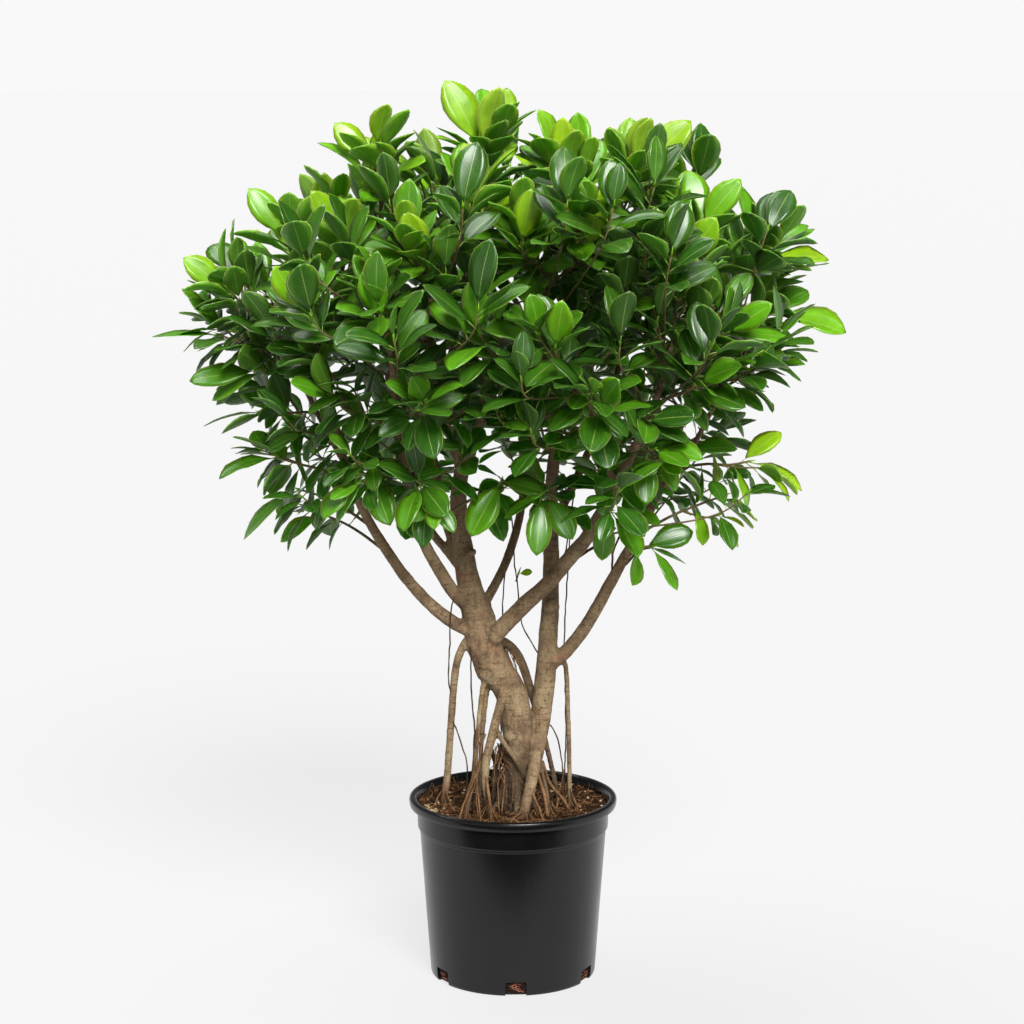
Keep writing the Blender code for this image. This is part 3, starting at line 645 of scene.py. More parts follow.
ROOTS = {
    "left_pillar": (6, [
        (-80, 14, STUB_FOOT, 4), (-80, 14, 200, 4), (-76, 10, 232, 4.2), (-72, 7, 285, 4.1),
        (-68, 3, 340, 4.2), (-63, -2, 372, 4.4), (-52, -4, 394, 4.8), (-38, -4, 404, 5.2),
    ]),
    "front_root": (6, [
        (-28, -30, STUB_FOOT, 3.4), (-28, -30, 200, 3.4), (-32, -29, 232, 4.2),
        (-30, -29, 262, 4.9), (-21, -27, 298, 5.2), (-13, -23, 330, 5), (-8, -14, 356, 5),
    ]),
    "left_root": (4, [
        (-52, -27, STUB_FOOT, 2.4), (-52, -27, 200, 2.4), (-45, -25, 238, 2.6),
        (-40, -19, 292, 2.8), (-34, -13, 342, 3.2), (-28, -8, 356, 3.2),
    ]),
    "middle_root": (4, [
        (-39, 4, STUB_FOOT, 2.4), (-39, 4, 200, 2.4), (-37, 3, 260, 2.7), (-32, -3, 318, 3),
        (-27, -5, 356, 3.2),
    ]),
    "strut_root": (4, [
        (25, -8, STUB_FOOT, 2.2), (25, -8, 199, 2.2), (15, -17, 232, 2.7), (2, -26, 260, 3),
        (-11, -29, 280, 3), (-20, -27, 296, 3),
    ]),
    "right_pillar": (6, [
        (66, 14, STUB_FOOT, 2.8), (66, 14, 200, 2.8), (65, 14, 262, 2.7), (63, 14, 320, 2.7),
        (60, 13, 362, 3), (48, 12, 380, 3.6),
    ]),
    "back_root": (4, [
        (52, 30, STUB_FOOT, 2.8), (52, 30, 200, 2.8), (44, 20, 242, 3), (34, 6, 286, 3.4),
    ]),
    "right_root": (4, [
        (42, -22, STUB_FOOT, 2.2), (42, -22, 199, 2.2), (36, -18, 232, 2.4), (27, -10, 266, 2.8),
    ]),
    "brace": (6, [
        (-24, 2, 396, 5.4), (-4, 12, 384, 5.4), (9, 20, 364, 5.2), (18, 22, 338, 4.9),
        (26, 16, 312, 4.5), (32, 8, 298, 4.4),
    ]),
}
print("trunks and roots:", len(TRUNKS) + len(ROOTS))

# %% Give the routes of the limbs
LIMBS = {
    "low_left": (6, [
        (-38, -4, 402, 8), (-62, -8, 412, 7.6), (-90, -14, 434, 7), (-118, -22, 466, 6.4),
        (-142, -32, 503, 5.8), (-163, -44, 542, 5.2), (-182, -56, 590, 4.6), (-196, -60, 650, 3.8),
        (-214, -40, 728, 3),
    ]),
    "outer_left": (4, [
        (-186, -58, 604, 3.4), (-208, -38, 640, 3.2), (-232, -14, 682, 2.9), (-262, 4, 740, 2.5),
    ]),
    "front_left": (6, [
        (-42, 0, 424, 8), (-66, -10, 449, 7.4), (-84, -22, 480, 7), (-100, -42, 515, 6.4),
        (-112, -68, 560, 5.6), (-121, -100, 620, 4.8), (-128, -126, 690, 3.8),
        (-134, -130, 752, 2.9),
    ]),
    "back_left": (6, [
        (-55, 4, 470, 5.4), (-75, 14, 494, 5), (-94, 30, 515, 4.6), (-110, 58, 548, 4.4),
        (-124, 96, 596, 4), (-142, 130, 655, 3.6), (-158, 150, 730, 2.8),
    ]),
    "upper_left": (6, [
        (-59, 6, 486, 6), (-72, 20, 512, 5.6), (-82, 44, 548, 5), (-94, 66, 604, 4.4),
        (-112, 74, 680, 3.8), (-136, 66, 760, 3.2), (-150, 50, 826, 2.6),
    ]),
    "back_rise": (4, [
        (-94, 66, 602, 3.6), (-86, 108, 654, 3.3), (-72, 144, 712, 3), (-62, 160, 776, 2.6),
    ]),
    "left_lead": (6, [
        (-58, 10, 582, 6.6), (-64, -2, 612, 6), (-76, -24, 650, 5.2), (-88, -46, 700, 4.4),
        (-92, -72, 760, 3.4), (-88, -80, 806, 2.8),
    ]),
    "right_lead": (6, [
        (-58, 10, 582, 6.8), (-47, 4, 612, 6.2), (-36, -6, 650, 5.4), (-30, -14, 710, 4.6),
        (-32, -10, 790, 3.6), (-36, -2, 868, 2.8),
    ]),
    "middle_back": (6, [
        (-38, 4, 426, 5.8), (-20, 18, 455, 5.2), (-5, 34, 486, 5), (8, 58, 528, 4.6),
        (14, 86, 578, 4), (18, 120, 640, 3.8), (22, 150, 712, 3.2), (18, 158, 786, 2.6),
    ]),
    "crossing": (8, [
        (-26, -14, 396, 10), (-9, -26, 417, 9.6), (13, -32, 441, 9.2), (38, -36, 465, 8.8),
        (61, -40, 493, 8.4), (83, -47, 521, 7.8), (99, -60, 552, 7), (113, -74, 584, 6.2),
        (134, -92, 630, 5), (156, -104, 684, 4), (172, -104, 742, 3),
    ]),
    "front_right": (4, [
        (113, -74, 582, 4), (100, -100, 622, 3.6), (82, -124, 664, 3.2), (64, -134, 712, 2.6),
    ]),
    "middle_lead": (6, [
        (49, 20, 612, 5.4), (43, 2, 652, 5), (34, -22, 698, 4.4), (30, -44, 750, 3.6),
        (36, -54, 812, 2.8),
    ]),
    "right_rise": (6, [
        (49, 20, 612, 5.2), (58, 36, 656, 4.8), (74, 40, 710, 4.2), (92, 30, 776, 3.4),
        (108, 18, 846, 2.8),
    ]),
    "back_right": (6, [
        (44, 22, 520, 5.4), (64, 46, 554, 5), (88, 80, 600, 4.4), (114, 112, 660, 3.8),
        (134, 130, 730, 2.9),
    ]),
    "low_right": (6, [
        (44, 12, 362, 8), (65, 6, 383, 7.6), (86, -2, 414, 7.2), (107, -8, 454, 6.6),
        (127, -14, 493, 6), (145, -14, 524, 5.4), (164, -6, 566, 4.8), (187, 6, 630, 4),
        (206, 12, 694, 3.4), (226, 10, 760, 2.7),
    ]),
    "outer_right": (4, [
        (161, -8, 560, 3.6), (188, -18, 594, 3.2), (212, -26, 640, 2.9), (236, -30, 692, 2.5),
    ]),
}
print("limbs:", len(LIMBS))

# %% [markdown]
# Straight runs between a route's points would show as kinks. A smooth line through the points
# bends evenly instead. Knots and swellings sit where limbs were cut or are about to sprout, and
# short roots flare from the foot of the thick trunk into the mix.

# %% Smooth the routes and lay the tubes together
SKIN = 1.85
# The middle and the radius of each knot.
KNOTS = (
    (-46, -9, 497, 4.4), (-20, -20, 402, 9.5), (47, 7, 371, 9.0), (-56, 2, 470, 8.5),
    (-30, -10, 378, 16.5), (8, -20, 312, 5.5), (-38, -2, 402, 17.0), (44, 10, 430, 9.2),
    (-8, -14, 352, 8.0), (-30, -13, 357.5, 9.5), (-4, -18, 284, 7.0),
)
# Each flare starts on the trunk and goes out and down: reach, height and radius.
FLARES = 7
FLARE = ((8.0, 240.0, 5.0), (12.5, 222.0, 4.6), (18.0, 206.0, 3.6), (27.0, 194.0, 2.6),
         (34.0, 187.0, 1.9))


def smoothed(route, step=6.0):
    """Points every few millimetres on a smooth line through the route, with their radii."""
    ends = [Vector(spot) for spot in route]
    ends = [ends[0] * 2.0 - ends[1]] + ends + [ends[-1] * 2.0 - ends[-2]]
    line = []
    for a, b, c, d in zip(ends, ends[1:], ends[2:], ends[3:]):
        count = max(1, round((c - b).to_3d().length / step))
        for k in range(count):
            t = k / count
            line.append(
                0.5 * (2.0 * b + (c - a) * t + (2.0 * a - 5.0 * b + 4.0 * c - d) * t * t
                       + (3.0 * b - a - 3.0 * c + d) * t * t * t)
            )
    line.append(ends[-2])
    return line


wood_lines = {name: smoothed(route) for name, (_, route) in {**TRUNKS, **ROOTS, **LIMBS}.items()}
work = bmesh.new()
for line in wood_lines.values():
    work.from_mesh(tube_mesh(line, 14))
foot_x, foot_y = TRUNKS["left_trunk"][1][1][:2]
for k in range(FLARES):
    turn = math.tau * k / FLARES + 0.5 * math.sin(3.0 * k)
    flare = [(foot_x + reach * math.cos(turn), foot_y + reach * math.sin(turn), z, radius)
             for reach, z, radius in FLARE]
    work.from_mesh(tube_mesh(smoothed(flare), 8))
for x, y, z, radius in KNOTS:
    made = bmesh.ops.create_icosphere(work, subdivisions=3, radius=radius * MM)["verts"]
    bmesh.ops.translate(work, vec=Vector((x, y, z)) * MM, verts=made)
skin = add("skin_guide", mesh_from(work, "tubes laid together"), helpers)
net = skin.modifiers.new("even net", "REMESH")
net.mode = "VOXEL"
net.voxel_size = SKIN * MM
wood_mesh = finished_mesh(skin)
bpy.data.objects.remove(skin)
print("even net has", len(wood_mesh.polygons), "squares")

# %% [markdown]
# Bark is smooth on a fig, but never plain: it has shallow flutes along the trunk, low lumps, and
# rings across it where each season's growth stopped. Scars show where roots were cut off. Rings
# have to follow the limb and not the world, so every point of the skin looks up the nearest
# point of its route and keeps how far along the route it is. The finish reads that number.

# %% Keep the way along each limb
# Each limb's rings start elsewhere; roots in the trunks' shade get painted shade, by this share.
RING_SHIFT = 37.0
DARK_ROOTS = {"brace": 0.6, "back_root": 0.5, "right_root": 0.4, "strut_root": 0.3}
finder_spots = []
for order, (name, line) in enumerate(wood_lines.items()):
    gone = order * RING_SHIFT
    for first, second in zip(line, line[1:] + line[-1:]):
        finder_spots.append((first.to_3d(), gone, first[3], DARK_ROOTS.get(name, 0.0)))
        gone += (second.to_3d() - first.to_3d()).length
finder = KDTree(len(finder_spots))
for order, found in enumerate(finder_spots):
    finder.insert(found[0], order)
finder.balance()
print("points to look up:", len(finder_spots))

# %% Shape the bark
# Scars and warm spots: a middle, and a width or a reach.
SCARS = ((-30.0, -22.0, 366.0, 16.0), (-29.0, -18.0, 347.0, 13.0))
WARM_SPOTS = (
    (-22.0, -24.0, 384.0, 17.0), (-40.0, -20.0, 375.0, 13.0), (-46.0, -12.0, 398.0, 14.0),
    (52.0, 2.0, 374.0, 16.0), (-60.0, -4.0, 470.0, 16.0), (-4.0, -22.0, 240.0, 16.0),
    (12.0, -46.0, 200.0, 20.0), (-80.0, 8.0, 205.0, 22.0), (30.0, 26.0, 400.0, 18.0),
    (-20.0, 18.0, 370.0, 20.0),
)
THICK = 12.0


def bark_push(spot, centre, radius):
    """How far the bark stands out from the smooth skin at a spot, in millimetres."""
    flutes = noise.noise(Vector((spot.x / 6.0, spot.y / 6.0, spot.z / 48.0)))
    lumps, fine = noise.noise(spot / 17.0), noise.noise(spot / 4.5)
    push = 0.35 + 0.06 * radius * lumps + 0.05 * radius * flutes + 0.24 * fine
    if radius > THICK:
        turn = math.atan2(spot.y - centre.y, spot.x - centre.x)
        folds = 0.5 + 0.5 * math.sin(6.0 * turn + 2.5 * flutes)
        push += 2.6 * folds * between(spot.z, 240.0, 195.0)
        push += 0.5 * math.sin(spot.z * 0.9 + 6.0 * lumps) * between(spot.z, 292.0, 272.0)
    if -42.0 < spot.x < -12.0 and spot.y < 0.0 and 322.0 < spot.z < 346.0 and radius > 10.0:
        push -= 2.4 * math.sin(math.pi * (spot.z - 322.0) / 24.0)
    for x, y, z, width in SCARS:
        level = (spot.z - z - 1.6 * noise.noise(spot / 6.0)) / 1.3
        beside = (spot.xy - Vector((x, y))).length / width
        if beside < 1.0 and abs(level) < 3.0:
            push += 1.7 * (1.0 - beside * beside) * math.exp(-level * level)
    return push


work = bmesh.new()
work.from_mesh(wood_mesh)
for _ in range(2):
    bmesh.ops.smooth_vert(work, verts=work.verts, factor=0.5, use_axis_x=True, use_axis_y=True,
                          use_axis_z=True)
work.normal_update()
layers = work.verts.layers.float
way_layer, painted_shade_layer, warm_layer = [layers.new(name) for name in ("along", "painted_shade", "warm")]
for vert in work.verts:
    spot = vert.co / MM
    centre, gone, radius, dark = finder_spots[finder.find(spot)[1]]
    vert[way_layer] = gone + (spot - centre).z * 0.8
    # The thick trunk's foot, among its roots, gets painted shade up to about 278 mm.
    beside_foot = (spot.xy - Vector((foot_x, foot_y))).length
    vert[painted_shade_layer] = max(dark, between(beside_foot, 25.0, 19.0) * between(spot.z, 278.0, 244.0))
    vert[warm_layer] = max(max(0.0, 1.0 - (spot - Vector(place)).length / reach)
                           for *place, reach in WARM_SPOTS)
    vert.co += vert.normal * bark_push(spot, centre, radius) * MM
wood = add("trunks_roots_and_limbs", mesh_from(work, "wood"))
print("bark shaped on", len(wood.data.vertices), "points")

# %% [markdown]
# Fig bark is thin, dry and grey-tan, with fine darker rings about 8 mm apart, freckles of pale
# lenticels, and a warmer, redder tone where young root skin shows near the soil. It hardly
# shines. Up in the crown the limbs are younger, browner and darker.

# %% Finish the wood in fig bark
RING_SPACING = 7.5


def bark_finish(name, pale, tan, dark, red):
    """Ringed bark: colours from light to dark, and the reddish tone of young skin."""
    finish, recipe = new_finish(name)
    spot = recipe.add("TexCoord")["Object"]
    height = recipe.add("SeparateXYZ", {0: spot})["Z"]
    patches = recipe.noise(spot, 38.0, 6.0, 0.62)
    fine = recipe.noise(spot, 420.0, 4.0, 0.65)
    sway = recipe.noise(spot, 70.0, 3.0)
    mottle = recipe.noise(recipe.stretched(spot, 1.0, 1.0, 0.4), 190.0, 5.0, 0.68)
    flecks = recipe.add("TexVoronoi", {"Vector": spot, "Scale": 300.0})["Distance"]

    swayed = recipe.sum("MULTIPLY_ADD", sway, 11.0, recipe.stored("along"))
    saw = recipe.sum("PINGPONG", recipe.sum("MULTIPLY", swayed, 1.0 / RING_SPACING), 0.5)
    rings = recipe.sum("MULTIPLY", recipe.span(saw, 0.0, 0.10, 1.0, 0.0),
                       recipe.span(sway, 0.45, 0.57, 0.0, 1.0))
    warmth = recipe.sum("MULTIPLY_ADD", recipe.stored("warm"), 0.8, 0.08)
    reds = recipe.span(recipe.noise(spot, 60.0, 4.0), 0.40, 0.60, 0.0, 1.0)

    colour = recipe.ramp(patches, (0.30, linear(dark)), (0.47, linear(tan)), (0.68, linear(pale)))
    colour = recipe.shaded(colour, recipe.span(fine, 0.34, 0.66, 0.70, 1.30))
    for share, over in (
        (recipe.span(mottle, 0.53, 0.66, 0.0, 0.7), "#3b2a19"),  # pits
        (recipe.span(height, 0.42, 0.62, 0.0, 0.55), "#5d4b32"),  # young limbs in the crown
        (recipe.sum("MULTIPLY", warmth, reds), red),  # young skin
        (recipe.sum("MULTIPLY", rings, 0.62), "#33271b"),  # rings
        (recipe.span(height, 0.194, 0.218, 0.85, 0.0), "#33241a"),  # stain of the mix
        (recipe.sum("MULTIPLY", recipe.stored("painted_shade"), 0.85), "#2f2114"),  # painted shade at the trunk's foot and on shaded roots
        (recipe.span(flecks, 0.10, 0.26, 0.42, 0.0), "#847354"),  # lenticels
    ):
        colour = recipe.blend(share, colour, over)
    depth = recipe.sum("MULTIPLY_ADD", rings, -0.6, fine)
    recipe.surface({"Base Color": colour, "Roughness": 0.82, "Specular IOR Level": 0.3,
                    "Normal": recipe.bump(depth, 0.9, 0.0008)})
    return finish


bark = bark_finish("smooth fig bark", "#877659", "#715d44", "#4e3e2b", "#744d36")
settle(wood, [bark])
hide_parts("wood")

# %% [markdown]
# ## Hanging roots and rootlets
# Thin roots hang from the limbs, dark and dry, and several of them reach the mix. The ones that
# the photograph shows one by one have their own routes. Around the feet of the thicker roots,
# paler rootlets fan out into the mix.

# %% Hang the thin dark roots
DARK_THREADS = {
    "from_front_left": (0.8, [(-66, -10, 449), (-69, -18, 438), (-71, -21, 420),
                              (-72, -17, 392), (-74, -9, 350), (-71, 3, 330)]),
    "past_left_root": (0.9, [(-50, -10, 396), (-48, -20, 378), (-47, -20, 330), (-44, -21, 297),
                             (-45, -21, 267), (-47, -22, 239), (-47, -24, 196)]),
    "off_left_pillar": (0.8, [(-72, 5, 300), (-66, 0, 290), (-60, -3, 272), (-53, -7, 249),
                              (-53, -10, 224), (-52, -12, 196)]),
    "right_wire": (0.8, [(36, 6, 296), (44, 5, 291), (50, 3, 280), (56, 2, 254), (58, 0, 222),
                         (58, -2, 196)]),
    "between_trunks": (0.8, [(-2, -30, 548), (1, -25, 507), (2, -18, 483), (5, -12, 459),
                             (8, -5, 426), (13, 1, 404), (30, 8, 374)]),
    "behind_crossing": (0.8, [(-28, 14, 452), (-27, 10, 439), (-24, 0, 425), (-20, -8, 408)]),
    "upper_right": (0.9, [(60, 8, 574), (61, 10, 554), (62, 15, 503), (46, 20, 452)]),
    "twig_1": (1.5, [(60, -40, 489), (79, -30, 499), (95, -22, 508), (116, -12, 526)]),
    "twig_2": (1.2, [(113, -10, 468), (113, -20, 497), (121, -20, 518), (125, -22, 531)]),
    "twig_3": (1.3, [(128, -16, 484), (144, -10, 499), (161, -4, 503), (174, 0, 512)]),
    "behind_foot_1": (3.0, [(-12, 4, 270), (-19, 2, 246), (-22, -2, 218), (-20, -6, 190)]),
    "behind_foot_2": (2.2, [(-24, 6, 262), (-20, 8, 240), (-16, 8, 214), (-15, 6, 190)]),
    "behind_foot_3": (1.6, [(-10, 10, 256), (-16, 12, 236), (-22, 10, 212), (-25, 8, 190)]),
    "back_wire": (0.8, [(-8, 34, 480), (-12, 40, 420), (-8, 44, 350), (-14, 46, 280),
                        (-10, 50, 196)]),
    "back_right_wire": (0.8, [(70, 54, 560), (64, 52, 470), (60, 50, 380), (62, 54, 280),
                              (60, 56, 196)]),
}
thread_random = random.Random(77)


def as_thread(radius, spots):
    """A thin root through some places, with small kinks of its own."""
    route = smoothed([(*spot, radius) for spot in spots], step=7.0)
    for k in range(1, len(route) - 1):
        kink = [thread_random.uniform(-0.45, 0.45) for _ in range(3)]
        swell = thread_random.uniform(0.85, 1.2)
        route[k] = (*(route[k].to_3d() + Vector(kink)), route[k][3] * swell)
    return route


wires = tube_bundle("hanging_roots", [as_thread(*thread) for thread in DARK_THREADS.values()], 6)

# %% Fan out the pale rootlets
# Single strands: a radius, and the places that the strand goes through.
STRANDS = (
    (1.1, [(-31, -30, 290), (-36, -33, 275), (-43, -45, 244), (-58, -60, 210), (-62, -63, 190)]),
    (1.0, [(-43, -30, 256), (-41, -42, 234), (-38, -54, 211), (-37, -56, 190)]),
    (0.9, [(-37, -30, 258), (-44, -40, 231), (-52, -49, 212), (-54, -50, 190)]),
    (1.8, [(-31, -30, 242), (-26, -46, 212), (-25, -50, 190)]),
    (1.0, [(-38, -28, 300), (-41, -34, 276), (-46, -39, 244), (-53, -44, 220), (-56, -46, 190)]),
    (1.1, [(-45, -26, 236), (-42, -34, 215), (-40, -38, 190)]),
    (1.8, [(34, 2, 250), (43, 0, 223), (58, -4, 206), (66, -6, 192)]),
    (2.2, [(27, -22, 244), (36, -28, 218), (40, -32, 190)]),
    (1.5, [(20, -32, 226), (30, -44, 206), (36, -50, 190)]),
    (0.9, [(14, -40, 204), (2, -56, 199), (-6, -62, 190)]),
    (0.9, [(-6, -62, 194), (-14, -68, 199), (-2, -72, 202), (8, -76, 198), (14, -78, 190)]),
    (0.8, [(-16, -18, 272), (-12, -21, 262), (-17, -23, 250), (-10, -24, 238), (-13, -26, 192)]),
    (0.7, [(-8, -20, 268), (-15, -21, 258), (-10, -23, 246), (-17, -24, 232), (-16, -26, 192)]),
    (0.6, [(22, -12, 314), (25, -18, 315), (29, -16, 314), (33, -4, 315)]),
    (0.9, [(60, 12, 240), (54, 2, 214), (50, -6, 192)]),
    (0.9, [(66, 12, 214), (72, 4, 202), (76, -2, 190)]),
    (1.0, [(-80, 12, 216), (-74, 2, 204), (-70, -6, 190)]),
    (1.0, [(-80, 16, 214), (-88, 10, 203), (-93, 6, 190)]),
    (0.8, [(-8, 14, 392), (0, 8, 374), (6, 4, 350), (12, 2, 330)]),
    (0.7, [(-14, 8, 388), (-4, 2, 372), (4, -4, 352), (8, -6, 342)]),
    (0.6, [(-4, 12, 384), (8, 4, 362), (14, 0, 340), (18, 2, 318)]),
)
# Where the roots meet the mix, and how thick they are there.
FEET = ((2, -8, 15), (12, -38, 6), (-80, 14, 4), (-28, -30, 3.4), (-52, -27, 3), (-39, 4, 3),
        (25, -8, 2), (66, 14, 3), (52, 30, 3), (42, -22, 3))
ROOTLETS_A_FOOT, FAN_REACH = 6, 100.0
# Tangles of loose root: how many, from where, which way, and how long.
TANGLES = (
    (16, (-15.0, -12.0, 270.0), (6.0, 8.0, 6.0), (0.0, 0.0, -1.0), (52.0, 74.0)),
    (8, (-4.0, 4.0, 382.0), (5.0, 4.0, 3.0), (0.3, 0.0, -1.0), (24.0, 38.0)),
)

strands = [as_thread(*strand) for strand in STRANDS]
for x, y, radius in FEET:
    for _ in range(ROOTLETS_A_FOOT):
        turn = thread_random.uniform(0.0, math.tau)
        side = Vector((math.cos(turn), math.sin(turn), 0.0))
        start = Vector((x, y, SOIL_TOP + thread_random.uniform(3.0, 17.0))) + side * radius * 0.7
        far = Vector((x, y, 0.0)) + side * (radius + thread_random.uniform(7.0, 20.0))
        reach = max(1.0, far.xy.length / FAN_REACH)
        far = Vector((far.x / reach, far.y / reach, 0.0))
        low = soil_height(far.x, far.y) - 3.0
        middle = start.lerp(Vector((*far.xy, low)), 0.5) + Vector((0.0, 0.0, -2.0))
        size = thread_random.uniform(0.4, 0.85)
        strands.append(as_thread(size, [start, middle, (far.x, far.y, low)]))
for count, middle, spread, way, lengths in TANGLES:
    for _ in range(count):
        start = [m + thread_random.uniform(-s, s) for m, s in zip(middle, spread)]
        strands.append(wandering(start, way, thread_random.uniform(*lengths),
                                 thread_random.uniform(0.4, 0.75), thread_random, 0.4, 9))
rootlets = tube_bundle("rootlets", strands, 6)

# %% Finish the thin roots
dry_root = grainy("dry root skin", "#221a14", "#3d3024", "#5f4d3a", 20.0, 2.0, 0.85, 0.2)
young_root = grainy("young root skin", "#452f20", "#674b31", "#876b4b", 22.0, 2.5, 0.8, 0.2)
settle(wires, [dry_root])
settle(rootlets, [young_root])

# %% [markdown]
# ## Where the shoots stand
# The frame holds one node for each leafy shoot: a twig with up to four leaves near its end. The
# same rules grow them here again, so each twig and leaf lands where the frame has it. A shoot
# looks for the best place on a limb, a twig curves from there to the shoot's end, and each leaf
# is tried in other places until it crosses nothing.

# %% List the shoots and the crown's outline
GAP = 0.35
LEAF_LENGTH, LOW_LEAF_LENGTH, LEAF_WIDTH, BLADE = 74.0, 58.0, 0.5, 0.8
LEAVES = 4
GOLDEN_TURN = math.radians(137.5)
LEAF_STEPS = (0.0, 4.0, 10.0, 18.0)
LEAF_SPREADS = (0.0, 40.0, 56.0, 72.0)
TWIG_RADIUS, TWIG_TIP_RADIUS = 1.9, 1.2
ROUTE_POINTS, LEAST_REACH, TRIES, CLEARANCE = 60, 24.0, 24, 0.9
CROWN_FOOT = Vector((-10.0, 0.0, 560.0))
CROWN_DEPTH = 0.88
BACK_STARTS = 60.0
# How far the crown reaches to the left and to the right, from its underside to its top.
CROWN = (
    (440.0, -150.0, 190.0), (500.0, -285.0, 245.0), (530.0, -312.0, 320.0),
    (610.0, -338.0, 330.0), (700.0, -366.0, 330.0), (740.0, -409.0, 378.0),
    (820.0, -368.0, 360.0), (900.0, -318.0, 330.0), (940.0, -262.0, 252.0),
    (980.0, -205.0, 220.0), (1030.0, -100.0, 60.0),
)
# Where each shoot ends, and where its leading leaf points.
SHOOTS = (
    ((-35, 0, 950), (-40, 0, 77)), ((-155, 15, 930), (-44, 5, 50)),
    ((-250, 0, 850), (-44, -5, 58)), ((-318, 0, 795), (-50, -10, 36)),
    ((-330, 15, 742), (-79, 0, -3)), ((-190, -40, 850), (-30, -20, 58)),
    ((55, 5, 925), (0, -10, 62)), ((137, 0, 917), (60, 0, 66)),
    ((207, -25, 862), (42, -10, 58)), ((286, 0, 830), (68, 0, 4)),
    ((292, 20, 765), (85, 0, -22)), ((268, -20, 706), (58, -10, 9)),
    ((267, 0, 600), (65, 0, -26)), ((238, -30, 566), (78, 0, -40)),
    ((155, -32, 508), (30, -14, -48)), ((-283, 0, 656), (-69, 0, -10)),
    ((-282, -20, 706), (-80, -5, -12)), ((-262, -45, 612), (-66, -16, -20)),
    ((-243, 0, 568), (-68, 0, -54)), ((-218, 20, 536), (-50, 10, -34)),
    ((-35, -70, 895), (-14, -18, 66)), ((-96, -120, 830), (-18, -26, 60)),
    ((-225, -115, 782), (-30, -28, 50)), ((-136, -165, 775), (-20, -34, 56)),
    ((10, -110, 850), (10, -22, 64)), ((84, -105, 852), (18, -22, 64)),
    ((184, -95, 826), (34, -24, 56)), ((230, -105, 755), (46, -34, 36)),
    ((45, -190, 748), (6, -40, 54)), ((-35, -195, 765), (-6, -38, 56)),
    ((92, -215, 690), (18, -52, 36)), ((150, -178, 640), (34, -44, -14)),
    ((198, -140, 705), (42, -42, 26)), ((108, -110, 560), (26, -44, -44)),
    ((30, -120, 582), (-4, -30, -62)), ((-12, -100, 596), (-34, -26, -60)),
    ((-100, -160, 600), (-16, -50, -42)), ((-166, -130, 605), (-40, -44, -36)),
    ((-92, -205, 694), (-12, -52, 32)), ((-194, -140, 690), (-42, -42, 22)),
    ((-212, 105, 862), (-34, 22, 56)), ((-92, 125, 905), (-12, 20, 66)),
    ((55, 128, 905), (10, 20, 66)), ((165, 105, 872), (28, 20, 60)),
    ((262, 110, 795), (44, 26, 44)), ((-285, 120, 780), (-46, 30, 40)),
    ((-125, 212, 820), (-14, 34, 58)), ((15, 225, 838), (4, 34, 60)),
    ((150, 210, 800), (24, 36, 52)), ((-222, 200, 722), (-38, 42, 32)),
    ((-68, 275, 742), (-8, 48, 40)), ((92, 272, 732), (14, 48, 38)),
    ((228, 190, 690), (46, 42, 16)), ((-140, 228, 632), (-26, 56, -28)),
    ((18, 240, 640), (4, 62, -28)), ((150, 205, 602), (30, 50, -34)),
    ((-245, 110, 622), (-56, 28, -24)),
)
print("shoots:", len(SHOOTS))

# %% Test what crosses what
def box_of(spots):
    """The lowest and the highest corner of some points."""
    low = Vector([min(spot[k] for spot in spots) for k in range(3)])
    high = Vector([max(spot[k] for spot in spots) for k in range(3)])
    return low, high


def as_tree(mesh):
    """A search tree for the surface of a closed mesh."""
    mesh.calc_loop_triangles()
    spots = [spot.co.copy() for spot in mesh.vertices]
    faces = [tuple(face.vertices) for face in mesh.loop_triangles]
    return BVHTree.FromPolygons(spots, faces), box_of(spots)


def apart(first, second):
    """True if two boxes don't meet."""
    return any(first[1][k] < second[0][k] or second[1][k] < first[0][k] for k in range(3))


class Neighbours:
    """Surfaces sorted into cubes of space, so that only near ones are tested."""

    def __init__(self, cell=0.06):
        self.cell = cell
        self.cubes = {}

    def keys(self, box):
        """The cubes that a box reaches into."""
        return itertools.product(*(
            range(math.floor(low / self.cell), math.floor(high / self.cell) + 1)
            for low, high in zip(*box)))

    def add(self, found, owner=None):
        """Keeps a surface with its box, and what it belongs to."""
        for key in self.keys(found[1]):
            self.cubes.setdefault(key, []).append((found[0], found[1], owner))

    def crossed_by(self, found, but=None):
        """True if the surface crosses any that is kept, apart from its own."""
        tree, box = found
        for key in self.keys(box):
            for other, other_box, owner in self.cubes.get(key, ()):
                if but is not None and owner == but:
                    continue
                if not apart(box, other_box) and tree.overlap(other):
                    return True
        return False


print("tests ready")

# %% Rank the places on the limbs
SHORTEST_TWIG, CROWDED, BEARER_STEP = 40.0, 14.0, 8.0


def along(route):
    """Points a step apart on a limb, each with its direction and radius."""
    for first, second in zip(route, route[1:]):
        start = Vector(first[:3])
        way = Vector(second[:3]) - start
        count = max(1, round(way.length / BEARER_STEP))
        for k in range(count):
            share = k / count
            radius = first[3] + (second[3] - first[3]) * share
            yield start + way * share, way.normalized(), radius


def bearers():
    """The places on the limbs that a shoot can grow from."""
    found = []
    for _, route in LIMBS.values():
        spots = list(along(route))
        found += spots[len(spots) // 3 :]
        found.append((Vector(route[-1][:3]), spots[-1][1], route[-1][3]))
    return found


def best_bearers(end, places, used):
    """The places for a shoot's foot, the best first: near, in line with the limb, and free."""
    ranked = []
    for order, (place, way, _) in enumerate(places):
        reach = end - place
        length = reach.length
        if length < SHORTEST_TWIG:
            continue
        cost = length * (1.7 - reach.dot(way) / length)
        cost += 90.0 * max(0.0, -0.1 - reach.z / length)
        cost += sum(40.0 for other in used if (other - place).length < CROWDED)
        ranked.append((cost, order))
    return [places[order] for _, order in sorted(ranked)]


places = bearers()
print("places that can bear a shoot:", len(places))

